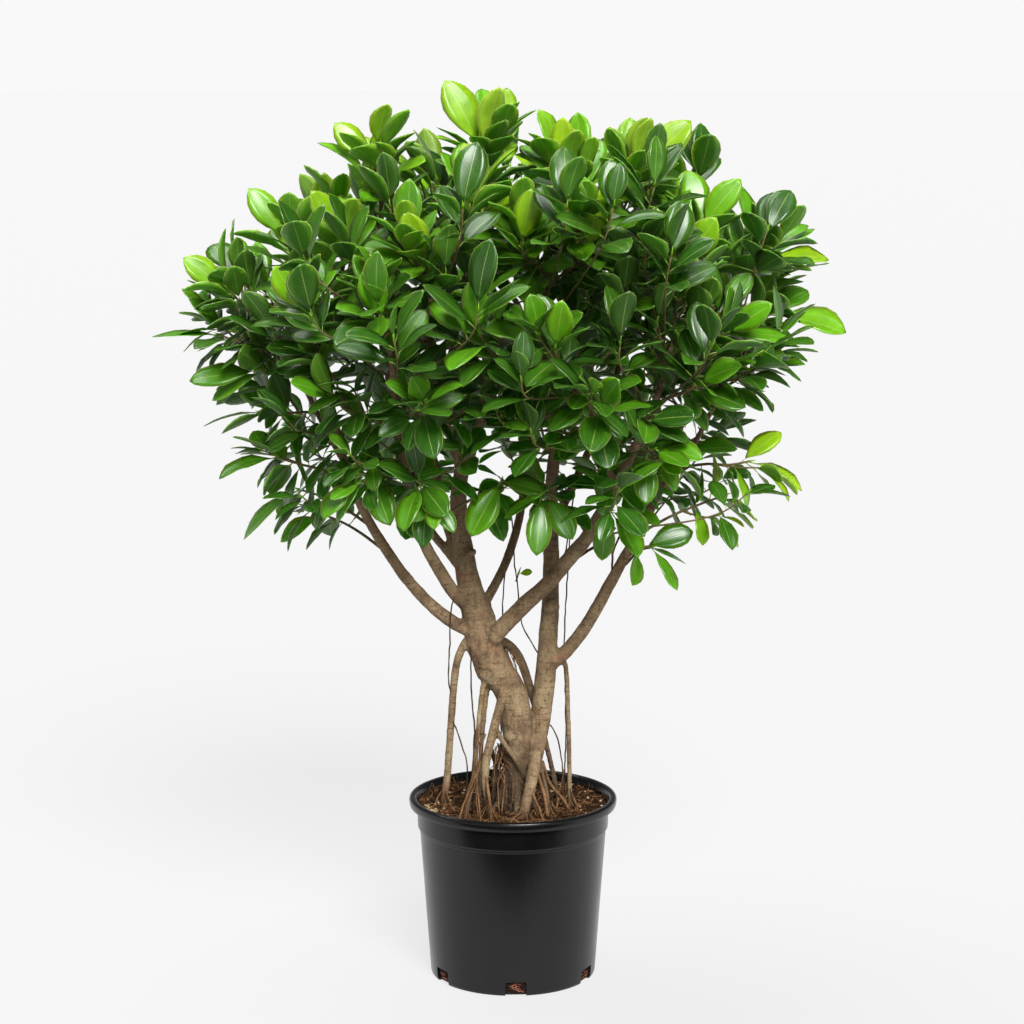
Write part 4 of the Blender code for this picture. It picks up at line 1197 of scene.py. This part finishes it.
# %% Draw a twig
def around(place, reach):
    """The box that reaches so far, in millimetres, on every side of a place."""
    margin = Vector((reach, reach, reach))
    return (place - margin) * MM, (place + margin) * MM


def outside(spot, tree):
    """How far a point, in millimetres, is outside a closed surface: below zero inside it."""
    near, normal, _, distance = tree.find_nearest(spot * MM)
    return math.copysign(distance / MM, (spot * MM - near).dot(normal))


def square_to(way, turn):
    """A direction square to a way, turned about it."""
    side = way.orthogonal().normalized()
    return side * math.cos(turn) + way.cross(side).normalized() * math.sin(turn)


def reaching(bearer, end, arriving, count):
    """A curve of so many points from a limb to a shoot's end, in line with both."""
    place, way, _ = bearer
    reach = (end - place).length
    leaving = (way * 0.5 + (end - place).normalized()).normalized()
    return geometry.interpolate_bezier(place, place + leaving * reach * 0.4,
                                       end - arriving * reach * 0.3, end, count)


def twig_route(bearer, end, lead, trees):
    """A smooth twig from just off the limb's surface to the shoot's end."""
    bend = (Vector(lead).normalized() + Vector((0.0, 0.0, 0.8))).normalized()
    points = reaching(bearer, end, bend, ROUTE_POINTS)
    near = [tree for tree, box in trees if not apart(box, around(bearer[0], 12.0))]
    for k in range(ROUTE_POINTS - 10):
        direction = (points[k + 1] - points[k]).normalized()
        corners = [points[k] + square_to(direction, turn) * (TWIG_RADIUS + 0.1)
                   for turn in (0.0, 1.05, 2.09, 3.14, 4.19, 5.24)]
        if all(outside(corner, tree) > GAP for tree in near for corner in corners):
            return points[k:]
    return points[-10:]


def thinned(points):
    """Four of the points, evenly, with both ends."""
    last = len(points) - 1
    return [points[round(last * k / 3)] for k in range(4)]


def tapered(points, thick, thin):
    """Twig points with their radii, from the thick end to the thin one."""
    last = len(points) - 1
    return [(*point, thick + (thin - thick) * k / last) for k, point in enumerate(points)]


limb_trees = [as_tree(tube_mesh(route, sides))
              for sides, route in {**TRUNKS, **ROOTS, **LIMBS}.values()]
wooden = Neighbours()
for found in limb_trees:
    wooden.add(found)
print("limbs that a twig keeps clear of:", len(limb_trees))

# %% Grow the twigs
def place_twigs(trees, wooden):
    """A route for the twig of every shoot, clear of the wood and of the other twigs."""
    used, routes, surfaces = [], [], []
    taken = Neighbours()
    for number, (end, lead) in enumerate(SHOOTS):
        end = Vector(end)
        for bearer in best_bearers(end, places, used)[:60]:
            points = twig_route(bearer, end, lead, trees)
            if (points[0] - end).length < LEAST_REACH:
                continue
            points = thinned(points)
            route = tapered(points, TWIG_RADIUS, TWIG_TIP_RADIUS)
            surface = as_tree(tube_mesh([(*spot[:3], spot[3] + 0.5) for spot in route], 6))
            if not wooden.crossed_by(surface) and not taken.crossed_by(surface):
                break
        else:
            raise ValueError(f"shoot {number + 1} finds no free place on a limb")
        used.append(bearer[0])
        routes.append(points)
        surfaces.append(surface)
        taken.add(surface)
    return routes, surfaces, used


twig_routes, twig_surfaces, twig_feet = place_twigs(limb_trees, wooden)
print("longest twig:", round(max((p[0] - p[-1]).length for p in twig_routes)), "mm")

# %% Place a single leaf
def crown_side(z, side):
    """How far the crown reaches at a height, to the left (1) or to the right (2)."""
    for lower, upper in zip(CROWN, CROWN[1:]):
        if lower[0] <= z <= upper[0]:
            share = (z - lower[0]) / (upper[0] - lower[0])
            return abs(lower[side] + (upper[side] - lower[side]) * share)
    return 0.0


def in_crown(spot):
    """True if a leaf's tip lies within the crown."""
    reach = crown_side(spot.z, 1 if spot.x < 0.0 else 2)
    if not reach:
        return False
    return (spot.x / reach) ** 2 + (spot.y / (reach * CROWN_DEPTH)) ** 2 <= 1.0


def leaf_points(base, way, normal, length):
    """The blade's middle, then its outline: foot, right edge, tip and left edge."""
    across = way.cross(normal).normalized()
    half = length * LEAF_WIDTH / 2.0
    shape = (
        (0.58, 0.0, 0.045), (0.0, 0.0, 0.0), (0.17, 0.11, 0.004), (0.52, 0.98, 0.07),
        (0.82, 0.74, 0.045), (1.0, 0.0, -0.02), (0.82, -0.74, 0.045), (0.52, -0.98, 0.07),
        (0.17, -0.11, 0.004),
    )
    return [base + way * (length * x) + across * (half * y) + normal * (length * z)
            for x, y, z in shape]


def blade_shell(spots, normal, clearance=CLEARANCE):
    """A closed and slightly swollen blade, to test what it would cross."""
    middle = spots[0]
    grown = [spot + (spot - middle).normalized() * clearance * 0.7 for spot in spots]
    shift = normal * (BLADE + clearance) / 2.0
    corners = [(spot + shift) * MM for spot in grown]
    corners += [(spot - shift) * MM for spot in grown]
    faces = [(0, k, k % 8 + 1) for k in range(1, 9)]
    faces += [(a + 9, c + 9, b + 9) for a, b, c in faces]
    for k in range(1, 9):
        after = k % 8 + 1
        faces += [(k, k + 9, after), (after, k + 9, after + 9)]
    return BVHTree.FromPolygons(corners, faces), box_of(corners)


def leaf_length(z, chance):
    """Leaves are longer in the upper crown."""
    mean = LOW_LEAF_LENGTH + (LEAF_LENGTH - LOW_LEAF_LENGTH) * between(z, 560.0, 800.0)
    return mean * chance.uniform(0.86, 1.08)


def stance(end, axis, angle, lean, chance):
    """Where a leaf points, leaning so many degrees from the axis, and where its face looks."""
    low = between(end.z, 800.0, 540.0)
    spread = math.radians(lean * (0.78 + 0.22 * low))
    way = axis * math.cos(spread) + square_to(axis, angle) * math.sin(spread)
    way = (way + Vector((0.0, 0.0, 0.1 - 0.75 * low))).normalized()
    outward = (end - CROWN_FOOT).normalized()
    face = axis * 0.8 + outward * 0.15 + Vector((0.0, 0.0, 0.8))
    face = (face - way * face.dot(way)).normalized()
    across = way.cross(face)
    roll = chance.uniform(-0.45, 0.45)
    return way, (face * math.cos(roll) + across * math.sin(roll)).normalized()


def lead_stance(lead, end, chance):
    """The leading leaf points where the shoot's list says, and looks up and outward.

    An upright one turns its broad side to the front or, behind the trunks, to the back.
    """
    way = Vector(lead).normalized()
    outward = (end - CROWN_FOOT).normalized()
    side = -1.0 if end.y < BACK_STARTS else 1.0
    face = outward * 0.6 + Vector((0.0, side * (0.25 + 0.9 * max(0.0, way.z)), 0.5))
    face += way.orthogonal() * chance.uniform(-0.3, 0.3)
    if abs(face.normalized().dot(way)) > 0.9:
        face = Vector((0.0, -1.0, 0.3))
    return way, (face - way * face.dot(way)).normalized()


print("crown at its widest:", crown_side(740.0, 1) + crown_side(740.0, 2), "mm")

# %% Grow the frame's leaves again
def length_of(points):
    """The length of a route."""
    return sum((b - a).length for a, b in zip(points, points[1:]))


def point_before_end(points, distance):
    """The place on a route at a distance before its end."""
    left = distance
    for later, earlier in zip(points[::-1], points[-2::-1]):
        step = (earlier - later).length
        if step >= left:
            return later + (earlier - later) * (left / step)
        left -= step
    return points[0].copy()


def frame_leaves(number, points, lead, leafy):
    """The leaves that the frame holds for a shoot: base, way, upper side and length."""
    chance = random.Random(9000 + number)
    end = points[-1]
    axis = (points[-1] - points[-2]).normalized()
    turn = chance.uniform(0.0, math.tau)
    grown, shells, own = [], [], Neighbours()
    for order in range(LEAVES):
        base = point_before_end(points, LEAF_STEPS[order])
        for attempt in range(TRIES):
            if order == 0:
                way, face = lead_stance(lead, end, chance)
                length = Vector(lead).length
            else:
                angle = turn + attempt * 0.5 + order * GOLDEN_TURN + chance.uniform(-0.3, 0.3)
                lean = LEAF_SPREADS[order] + chance.uniform(-9.0, 9.0)
                way, face = stance(end, axis, angle, lean, chance)
                length = leaf_length(end.z, chance) * (1.0 - 0.012 * attempt)
            if order and not in_crown(base + way * length):
                continue
            shell = blade_shell(leaf_points(base, way, face, length), face)
            if leafy.crossed_by(shell, but=number) or wooden.crossed_by(shell):
                continue
            trimmed = leaf_points(base + way * 4.0, way, face, length - 4.0)
            if own.crossed_by(blade_shell(trimmed, face)):
                continue
            grown.append((base, way, face, length))
            own.add(shell)
            shells.append(shell)
            break
    for shell in shells:
        leafy.add(shell, owner=("leaf", number))
    return grown


leafy = Neighbours()
for number, surface in enumerate(twig_surfaces):
    leafy.add(surface, owner=number)
leaves = [frame_leaves(number, points, SHOOTS[number][1], leafy)
          for number, points in enumerate(twig_routes)]
print("leaves of the frame:", sum(len(group) for group in leaves))

# %% [markdown]
# ## More leaves
# The frame's leaves give the crown its reach. A real shoot carries ten or more, so each twig gets
# further leaves lower down, and side twigs of its own with more. The same test keeps them from
# crossing. Behind them, in the middle of the crown, darker shoots fill what would be a hole: their
# leaves are older, and painted darker still as painted shade for the depth of the crown.

# %% Find room for more leaves
# How far before a twig's end its leaves stand, and how far they lean away from it.
MORE_STEPS = (27.0, 36.0, 46.0, 56.0, 67.0, 79.0, 92.0, 106.0)
TUFT_STEPS = (0.0, 5.0, 12.0, 20.0, 29.0, 39.0, 50.0)
TUFT_SPREADS = (12.0, 42.0, 56.0, 68.0, 78.0, 85.0, 90.0)
SIDE_TWIG_SHARES = (0.45, 0.68, 0.25, 0.58)
YOUNG_SHARE, YOUNG_AGE, LOW_AGE, HIGH_AGE = 0.05, 0.12, 0.70, 0.16
FRONT_LIMIT = cad_box[0][1] / MM - 12.0


def fullness(z):
    """How dense the crown is at a height: open at its underside, full from its middle up."""
    return between(z, 540.0, 720.0)


def age_at(z, chance):
    """Leaves are younger high up, and on a young shoot here and there."""
    if chance.random() < YOUNG_SHARE:
        return YOUNG_AGE
    return LOW_AGE + (HIGH_AGE - LOW_AGE) * between(z, 700.0, 900.0)


def has_room(spot):
    """True if a leaf's tip lies within the crown and close behind the frame's own front."""
    return in_crown(spot) and spot.y > FRONT_LIMIT


def try_leaf(base, end, axis, angle, spread, length, chance, owner, tries=7):
    """A leaf that crosses nothing, or none after some tries."""
    for attempt in range(tries):
        turn = angle + attempt * 0.6 + chance.uniform(-0.3, 0.3)
        way, face = stance(end, axis, turn, spread + chance.uniform(-9.0, 9.0), chance)
        size = length * (1.0 - 0.03 * attempt)
        if not has_room(base + way * size):
            continue
        shell = blade_shell(leaf_points(base + way * 5.0, way, face, size - 5.0), face, 0.2)
        if leafy.crossed_by(shell, but=owner) or wooden.crossed_by(shell):
            continue
        leafy.add(shell, owner=("leaf", owner))
        return base, way, face, size
    return None


def tuft(points, chance, owner, count, age):
    """Leaves around the end of a twig, the youngest at its tip."""
    axis = (points[-1] - points[-2]).normalized()
    turn = chance.uniform(0.0, math.tau)
    length, high = length_of(points), between(points[-1].z, 700.0, 840.0)
    grown = []
    for order in range(count):
        if TUFT_STEPS[order] > length - 6.0:
            break
        base = point_before_end(points, TUFT_STEPS[order])
        size = leaf_length(points[-1].z, chance) * chance.uniform(0.64 + 0.2 * high, 1.0)
        leaf = try_leaf(base, points[-1], axis, turn + order * GOLDEN_TURN,
                        TUFT_SPREADS[order], size, chance, owner)
        if leaf:
            grown.append((*leaf, age + 0.08 * order))
    return grown


def side_twig(points, share, chance, owner):
    """A short twig that leaves another one part of the way up, if there is room for it."""
    last = len(points) - 1
    k = min(last - 1, int(share * last))
    start = points[k].lerp(points[k + 1], share * last - k)
    axis = (points[k + 1] - points[k]).normalized()
    outward = (start - CROWN_FOOT).normalized()
    up = Vector((0.0, 0.0, 0.6 * fullness(start.z)))
    for _ in range(8):
        radial = square_to(axis, chance.uniform(0.0, math.tau))
        way = (axis * 0.55 + radial * 0.8 + outward * 0.3 + up).normalized()
        length = chance.uniform(34.0, 62.0)
        end = start + (way * 0.8 + axis * 0.35 + up * 0.5).normalized() * length
        if not has_room(end + way * 45.0):
            continue
        line = geometry.interpolate_bezier(start, start + way * length * 0.5,
                                           end - axis * length * 0.3, end, 6)
        tested = as_tree(tube_mesh([(*spot, 1.5) for spot in line[1:]], 4))
        if wooden.crossed_by(tested) or leafy.crossed_by(tested, but=owner):
            continue
        leafy.add(tested, owner=owner)
        return line
    return None


print("the tips of added leaves stay behind y =", round(FRONT_LIMIT), "mm")

# %% Add leaves and side twigs to every shoot
plants = []
for number, points in enumerate(twig_routes):
    chance = random.Random(500 + number)
    end, axis, length = points[-1], (points[-1] - points[-2]).normalized(), length_of(points)
    full, age = fullness(end.z), age_at(end.z, chance)
    grown = [(*leaf, age + 0.07 * order) for order, leaf in enumerate(leaves[number])]
    turn = chance.uniform(0.0, math.tau)
    for order, step in enumerate(MORE_STEPS[: 2 + round(6.0 * full)]):
        if step > length - 4.0:
            break
        size = leaf_length(end.z, chance) * chance.uniform(0.7, 1.0)
        leaf = try_leaf(point_before_end(points, step), end, axis, turn + order * GOLDEN_TURN,
                        86.0 + 3.0 * order, size, chance, number)
        if leaf:
            grown.append((*leaf, age + 0.35 + 0.04 * order))
    twigs = [points]
    for share in SIDE_TWIG_SHARES[: round(4.0 * full)]:
        line = side_twig(points, share, chance, number)
        if line:
            twigs.append(line)
            grown += tuft(line, chance, number, 3 + round(3.0 * full), age + 0.1)
    plants.append((twigs, grown))
print("leaves now:", sum(len(grown) for _, grown in plants))

# %% Fill the middle of the crown
INNER_SHOOTS, INNER_SPACING, INNER_AGE = 165, 38.0, 0.72
INNER_LOW, INNER_HIGH, INNER_REACH, INNER_TRIES = 560.0, 930.0, 0.86, 6000


def inner_spot(chance):
    """A place inside the crown, above its open underside."""
    while True:
        z = chance.uniform(INNER_LOW, INNER_HIGH)
        reach = min(crown_side(z, 1), crown_side(z, 2)) * INNER_REACH
        x, y = chance.uniform(-reach, reach), chance.uniform(-reach, reach)
        bowl = INNER_LOW + 34.0 * max(0.0, 1.0 - abs(x + 10.0) / 160.0)
        if z > bowl and (x / reach) ** 2 + (y / reach / CROWN_DEPTH) ** 2 < 1.0:
            return Vector((x, y, z))


fill_random = random.Random(2024)
ends = [Vector(end) for end, _ in SHOOTS]
ends += [twig[-1] for twigs, _ in plants for twig in twigs[1:]]
used = list(twig_feet)
inner = []
for _ in range(INNER_TRIES):
    if len(inner) >= INNER_SHOOTS:
        break
    end = inner_spot(fill_random)
    if min((end - other).length for other in ends) < INNER_SPACING:
        continue
    way = ((end - CROWN_FOOT).normalized() * 0.7 + Vector((0.0, 0.0, 0.9))).normalized()
    owner = 1000 + len(inner)
    for bearer in best_bearers(end, places, used)[:5]:
        line = reaching(bearer, end, way, 8)
        clear = [spot for spot in line if (spot - bearer[0]).length > bearer[2] + 5.0]
        if len(clear) < 3:
            continue
        tested = as_tree(tube_mesh([(*spot, 1.6) for spot in clear], 4))
        if wooden.crossed_by(tested) or leafy.crossed_by(tested):
            continue
        leafy.add(tested, owner=owner)
        used.append(bearer[0])
        ends.append(end)
        inner.append(([line], tuft(line, fill_random, owner, 7, INNER_AGE)))
        break

# One small leaf sprouts low on the hanging root between the trunks, as in the photograph.
wire_twig = [Vector((3.6, -14.0, 464.0)), Vector((4.8, -14.0, 469.0)), Vector((6.2, -14.0, 473.0))]
wire_leaf = (wire_twig[-1], Vector((0.9, -0.3, 0.2)).normalized(),
             Vector((-0.2, -0.75, 0.6)).normalized(), 17.0, 0.4)
inner.append(([wire_twig], [wire_leaf]))
print("inner shoots:", len(inner), "with", sum(len(grown) for _, grown in inner), "leaves")

# %% [markdown]
# ## One leaf
# A fig leaf is a thin, stiff blade, widest a little past its middle, with a wedge-shaped foot on
# a short stalk and a blunt tip. One grid is drawn into that outline, doubled for the underside
# and closed along its rim, so it is a real solid with a few dozen faces. Every leaf is a copy,
# bent its own way: folded along the midrib, arched along its length, with a soft wave at its rim.

# %% Model the leaf once
STATIONS = (0.0, 0.12, 0.28, 0.46, 0.63, 0.79, 0.92, 1.0)
WIDTHS = (0.05, 0.34, 0.73, 0.96, 0.99, 0.81, 0.43, 0.0)
STALK = 0.13

work = bmesh.new()
work.loops.layers.uv.new("leaf_uv")
ROWS = len(STATIONS) - 1
bmesh.ops.create_grid(work, x_segments=ROWS, y_segments=4, size=0.5, calc_uvs=True)
for vert in work.verts:
    row = round((vert.co.x + 0.5) * ROWS)
    vert.co.x = STALK + (1.0 - STALK) * STATIONS[row]
    vert.co.y *= WIDTHS[row]
bmesh.ops.remove_doubles(work, verts=work.verts, dist=1e-5)
under = bmesh.ops.duplicate(work, geom=work.verts[:] + work.edges[:] + work.faces[:])["geom"]
under_faces = [item for item in under if isinstance(item, bmesh.types.BMFace)]
bmesh.ops.reverse_faces(work, faces=under_faces)
for face in under_faces:
    face.material_index = 1
for item in under:
    if isinstance(item, bmesh.types.BMVert) and not item.is_boundary:
        item.co.z -= BLADE / LEAF_LENGTH
bmesh.ops.remove_doubles(work, verts=work.verts, dist=1e-6)
stalk = bmesh.ops.create_cone(work, cap_ends=True, segments=4, radius1=0.013, radius2=0.010,
                              depth=STALK + 0.05, calc_uvs=False)["verts"]
bmesh.ops.rotate(work, cent=(0, 0, 0), matrix=Matrix.Rotation(math.pi / 2, 3, "Y"), verts=stalk)
bmesh.ops.translate(work, vec=((STALK + 0.03) / 2.0, 0.0, -0.5 * BLADE / LEAF_LENGTH), verts=stalk)
for face in {face for vert in stalk for face in vert.link_faces}:
    face.material_index = 0
    for loop in face.loops:
        loop[work.loops.layers.uv.active].uv = (0.02, 0.5)
leaf_faces = len(work.faces)
leaf_mesh = mesh_from(work, "one leaf")
print("one leaf has", leaf_faces, "faces")

# %% [markdown]
# The gloss is the first thing one sees on a fig leaf: a waxy skin over deep green, with a pale
# midrib, faint side veins, and a thin light rim that is a paler margin and a painted highlight of
# the lit edge in one. Young leaves at the tips are yellow-green. The pattern reads the leaf's own
# UV map, and an attribute tells each leaf's age.

# %% Finish the leaves
def leaf_finish(name, young, grown, old, rib, rough, rib_share, vein_share, depth_mm):
    """A leaf's skin, from the colours of its ages."""
    finish, recipe = new_finish(name)
    blotch = recipe.noise(recipe.add("TexCoord")["Object"], 45.0, 3.0)
    place = recipe.add("SeparateXYZ", {0: recipe.add("UVMap", uv_map="leaf_uv")["UV"]})
    across = recipe.sum("ABSOLUTE", recipe.sum("SUBTRACT", place["Y"], 0.5))
    swept = recipe.sum("MULTIPLY_ADD", place["X"], 15.0, recipe.sum("MULTIPLY", across, -7.0))
    midrib = recipe.span(across, 0.007, 0.024, rib_share, 0.0)
    veins = recipe.span(recipe.sum("PINGPONG", swept, 0.5), 0.0, 0.12, vein_share, 0.0)
    lines = recipe.sum("MAXIMUM", midrib, veins)
    # The thin light rim is a paler margin and a painted highlight of the lit edge in one.
    drawn = recipe.sum("MAXIMUM", lines, recipe.span(across, 0.466, 0.486, 0.0, 0.5))

    ages = (0.0, linear(young)), (0.45, linear(grown)), (1.0, linear(old))
    skin = recipe.ramp(recipe.stored("leaf_age"), *ages)
    skin = recipe.shaded(skin, recipe.span(blotch, 0.3, 0.7, 0.78, 1.2))
    recipe.surface({
        "Base Color": recipe.blend(drawn, skin, rib),
        "Roughness": recipe.span(blotch, 0.3, 0.7, rough - 0.05, rough + 0.07),
        "Normal": recipe.bump(lines, 0.5, depth_mm * MM),
        "IOR": 1.45, "Specular IOR Level": 0.5, "Subsurface Weight": 0.35,
        "Subsurface Scale": 0.004, "Subsurface Radius": (0.6, 1.0, 0.1),
    })
    return finish


upper_skin = leaf_finish("waxy fig leaf, upper side", "#86a20e", "#508a0c", "#1c4206",
                         "#a9c264", 0.32, 0.32, 0.09, 0.25)
under_skin = leaf_finish("matt fig leaf, underside", "#7c961a", "#4d7818", "#27480c",
                         "#9cb464", 0.5, 0.36, 0.13, 0.3)

# %% [markdown]
# Each shoot's piece is its twig, the side twigs and all of their leaves. It replaces the frame's
# node of the same number, so the frame's plain shoots are no longer shown.

# %% Bend the copies into place
MAIN_TWIG, SIDE_TWIG = (2.1, 1.2), (1.35, 0.9)


def bent(spot, fold, arch, twist, wave, phase):
    """Where a point of the flat leaf goes once the leaf is folded, arched, twisted and waved."""
    x, y, z = spot
    blade = max(0.0, (x - STALK) / (1.0 - STALK))
    lift = 0.17 * x * (1.0 - x) - 0.02 * x - arch * blade * blade
    edge = abs(y)
    lift += fold * edge + wave * math.sin(x * 13.0 + phase + (2.2 if y > 0.0 else 0.0)) * edge
    turn = twist * blade
    side = y * math.cos(turn) - z * math.sin(turn)
    return x, side, lift + z * math.cos(turn) + y * math.sin(turn)


def bud(work, end, axis, age_layer):
    """The pointed bud at a twig's end, wrapped in its green sheath."""
    made = bmesh.ops.create_cone(work, cap_ends=True, segments=5, radius1=1.5, radius2=0.25,
                                 depth=9.0)["verts"]
    turn = axis.to_track_quat("Z", "Y").to_matrix().to_4x4()
    place = Matrix.Diagonal((MM, MM, MM, 1.0)) @ Matrix.Translation(end + axis * 4.0) @ turn
    bmesh.ops.transform(work, matrix=place, verts=made)
    uv = work.loops.layers.uv.active
    for vert in made:
        vert[age_layer] = 0.3
        for loop in vert.link_loops:
            loop[uv].uv = (0.5, 0.3)


def leafy_piece(name, twigs, grown, seed):
    """One piece: the twigs as tubes, a bud on each, and a bent copy of the leaf for each leaf."""
    chance = random.Random(seed)
    work = bmesh.new()
    work.loops.layers.uv.new("leaf_uv")
    age_layer = work.verts.layers.float.new("leaf_age")
    for order, twig in enumerate(twigs):
        route = tapered(twig, *(MAIN_TWIG if order == 0 else SIDE_TWIG))
        tube = tube_mesh(smoothed(route, step=9.0), 6)
        for face in tube.polygons:
            face.material_index = 2
        work.from_mesh(tube)
        bud(work, twig[-1], (twig[-1] - twig[-2]).normalized(), age_layer)
    for vert in work.verts:
        vert.tag = True
    for base, way, face, length, age in grown:
        work.from_mesh(leaf_mesh)
        fold, arch = chance.uniform(0.04, 0.34), chance.uniform(-0.05, 0.12)
        twist, wave = chance.uniform(-0.35, 0.35), chance.uniform(0.0, 0.10)
        phase, slim = chance.uniform(0.0, math.tau), chance.uniform(0.42, 0.51)
        across = way.cross(face).normalized()
        tint = between(age + chance.uniform(-0.18, 0.14), 0.0, 1.0)
        for vert in work.verts:
            if vert.tag:
                continue
            vert.tag = True
            wide = 1.0 if vert.co.x < STALK - 0.001 else slim
            x, y, z = bent((vert.co.x, vert.co.y * wide, vert.co.z), fold, arch, twist, wave, phase)
            vert.co = (base + way * (x * length) - across * (y * length)
                       + face * (z * length)) * MM
            vert[age_layer] = tint
    return add(name, mesh_from(work, name))


twig_skin = bark_finish("young fig twig", "#736c3e", "#56522d", "#3a361f", "#66502f")
for number, (twigs, grown) in enumerate(plants):
    node = f"shoot_{number + 1:02d}"
    twigs = [[twig_feet[number]] + list(twigs[0])] + twigs[1:]
    piece = leafy_piece("leafy_" + node, twigs, grown, 7000 + number)
    settle(piece, [upper_skin, under_skin, twig_skin])
    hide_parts(node)
GROUPS = 6
# Inner leaves count as older still: partly real age, partly painted shade for the depth of the
# crown.
INNER_AGE_AND_SHADE = 0.3
for part in range(GROUPS):
    chosen = inner[part::GROUPS]
    twigs = [line for lines, _ in chosen for line in lines]
    grown = [(*leaf[:4], min(1.0, leaf[4] + INNER_AGE_AND_SHADE))
             for _, group in chosen for leaf in group]
    piece = leafy_piece(f"inner_shoots_{part + 1}", twigs, grown, 8000 + part)
    settle(piece, [upper_skin, under_skin, twig_skin])
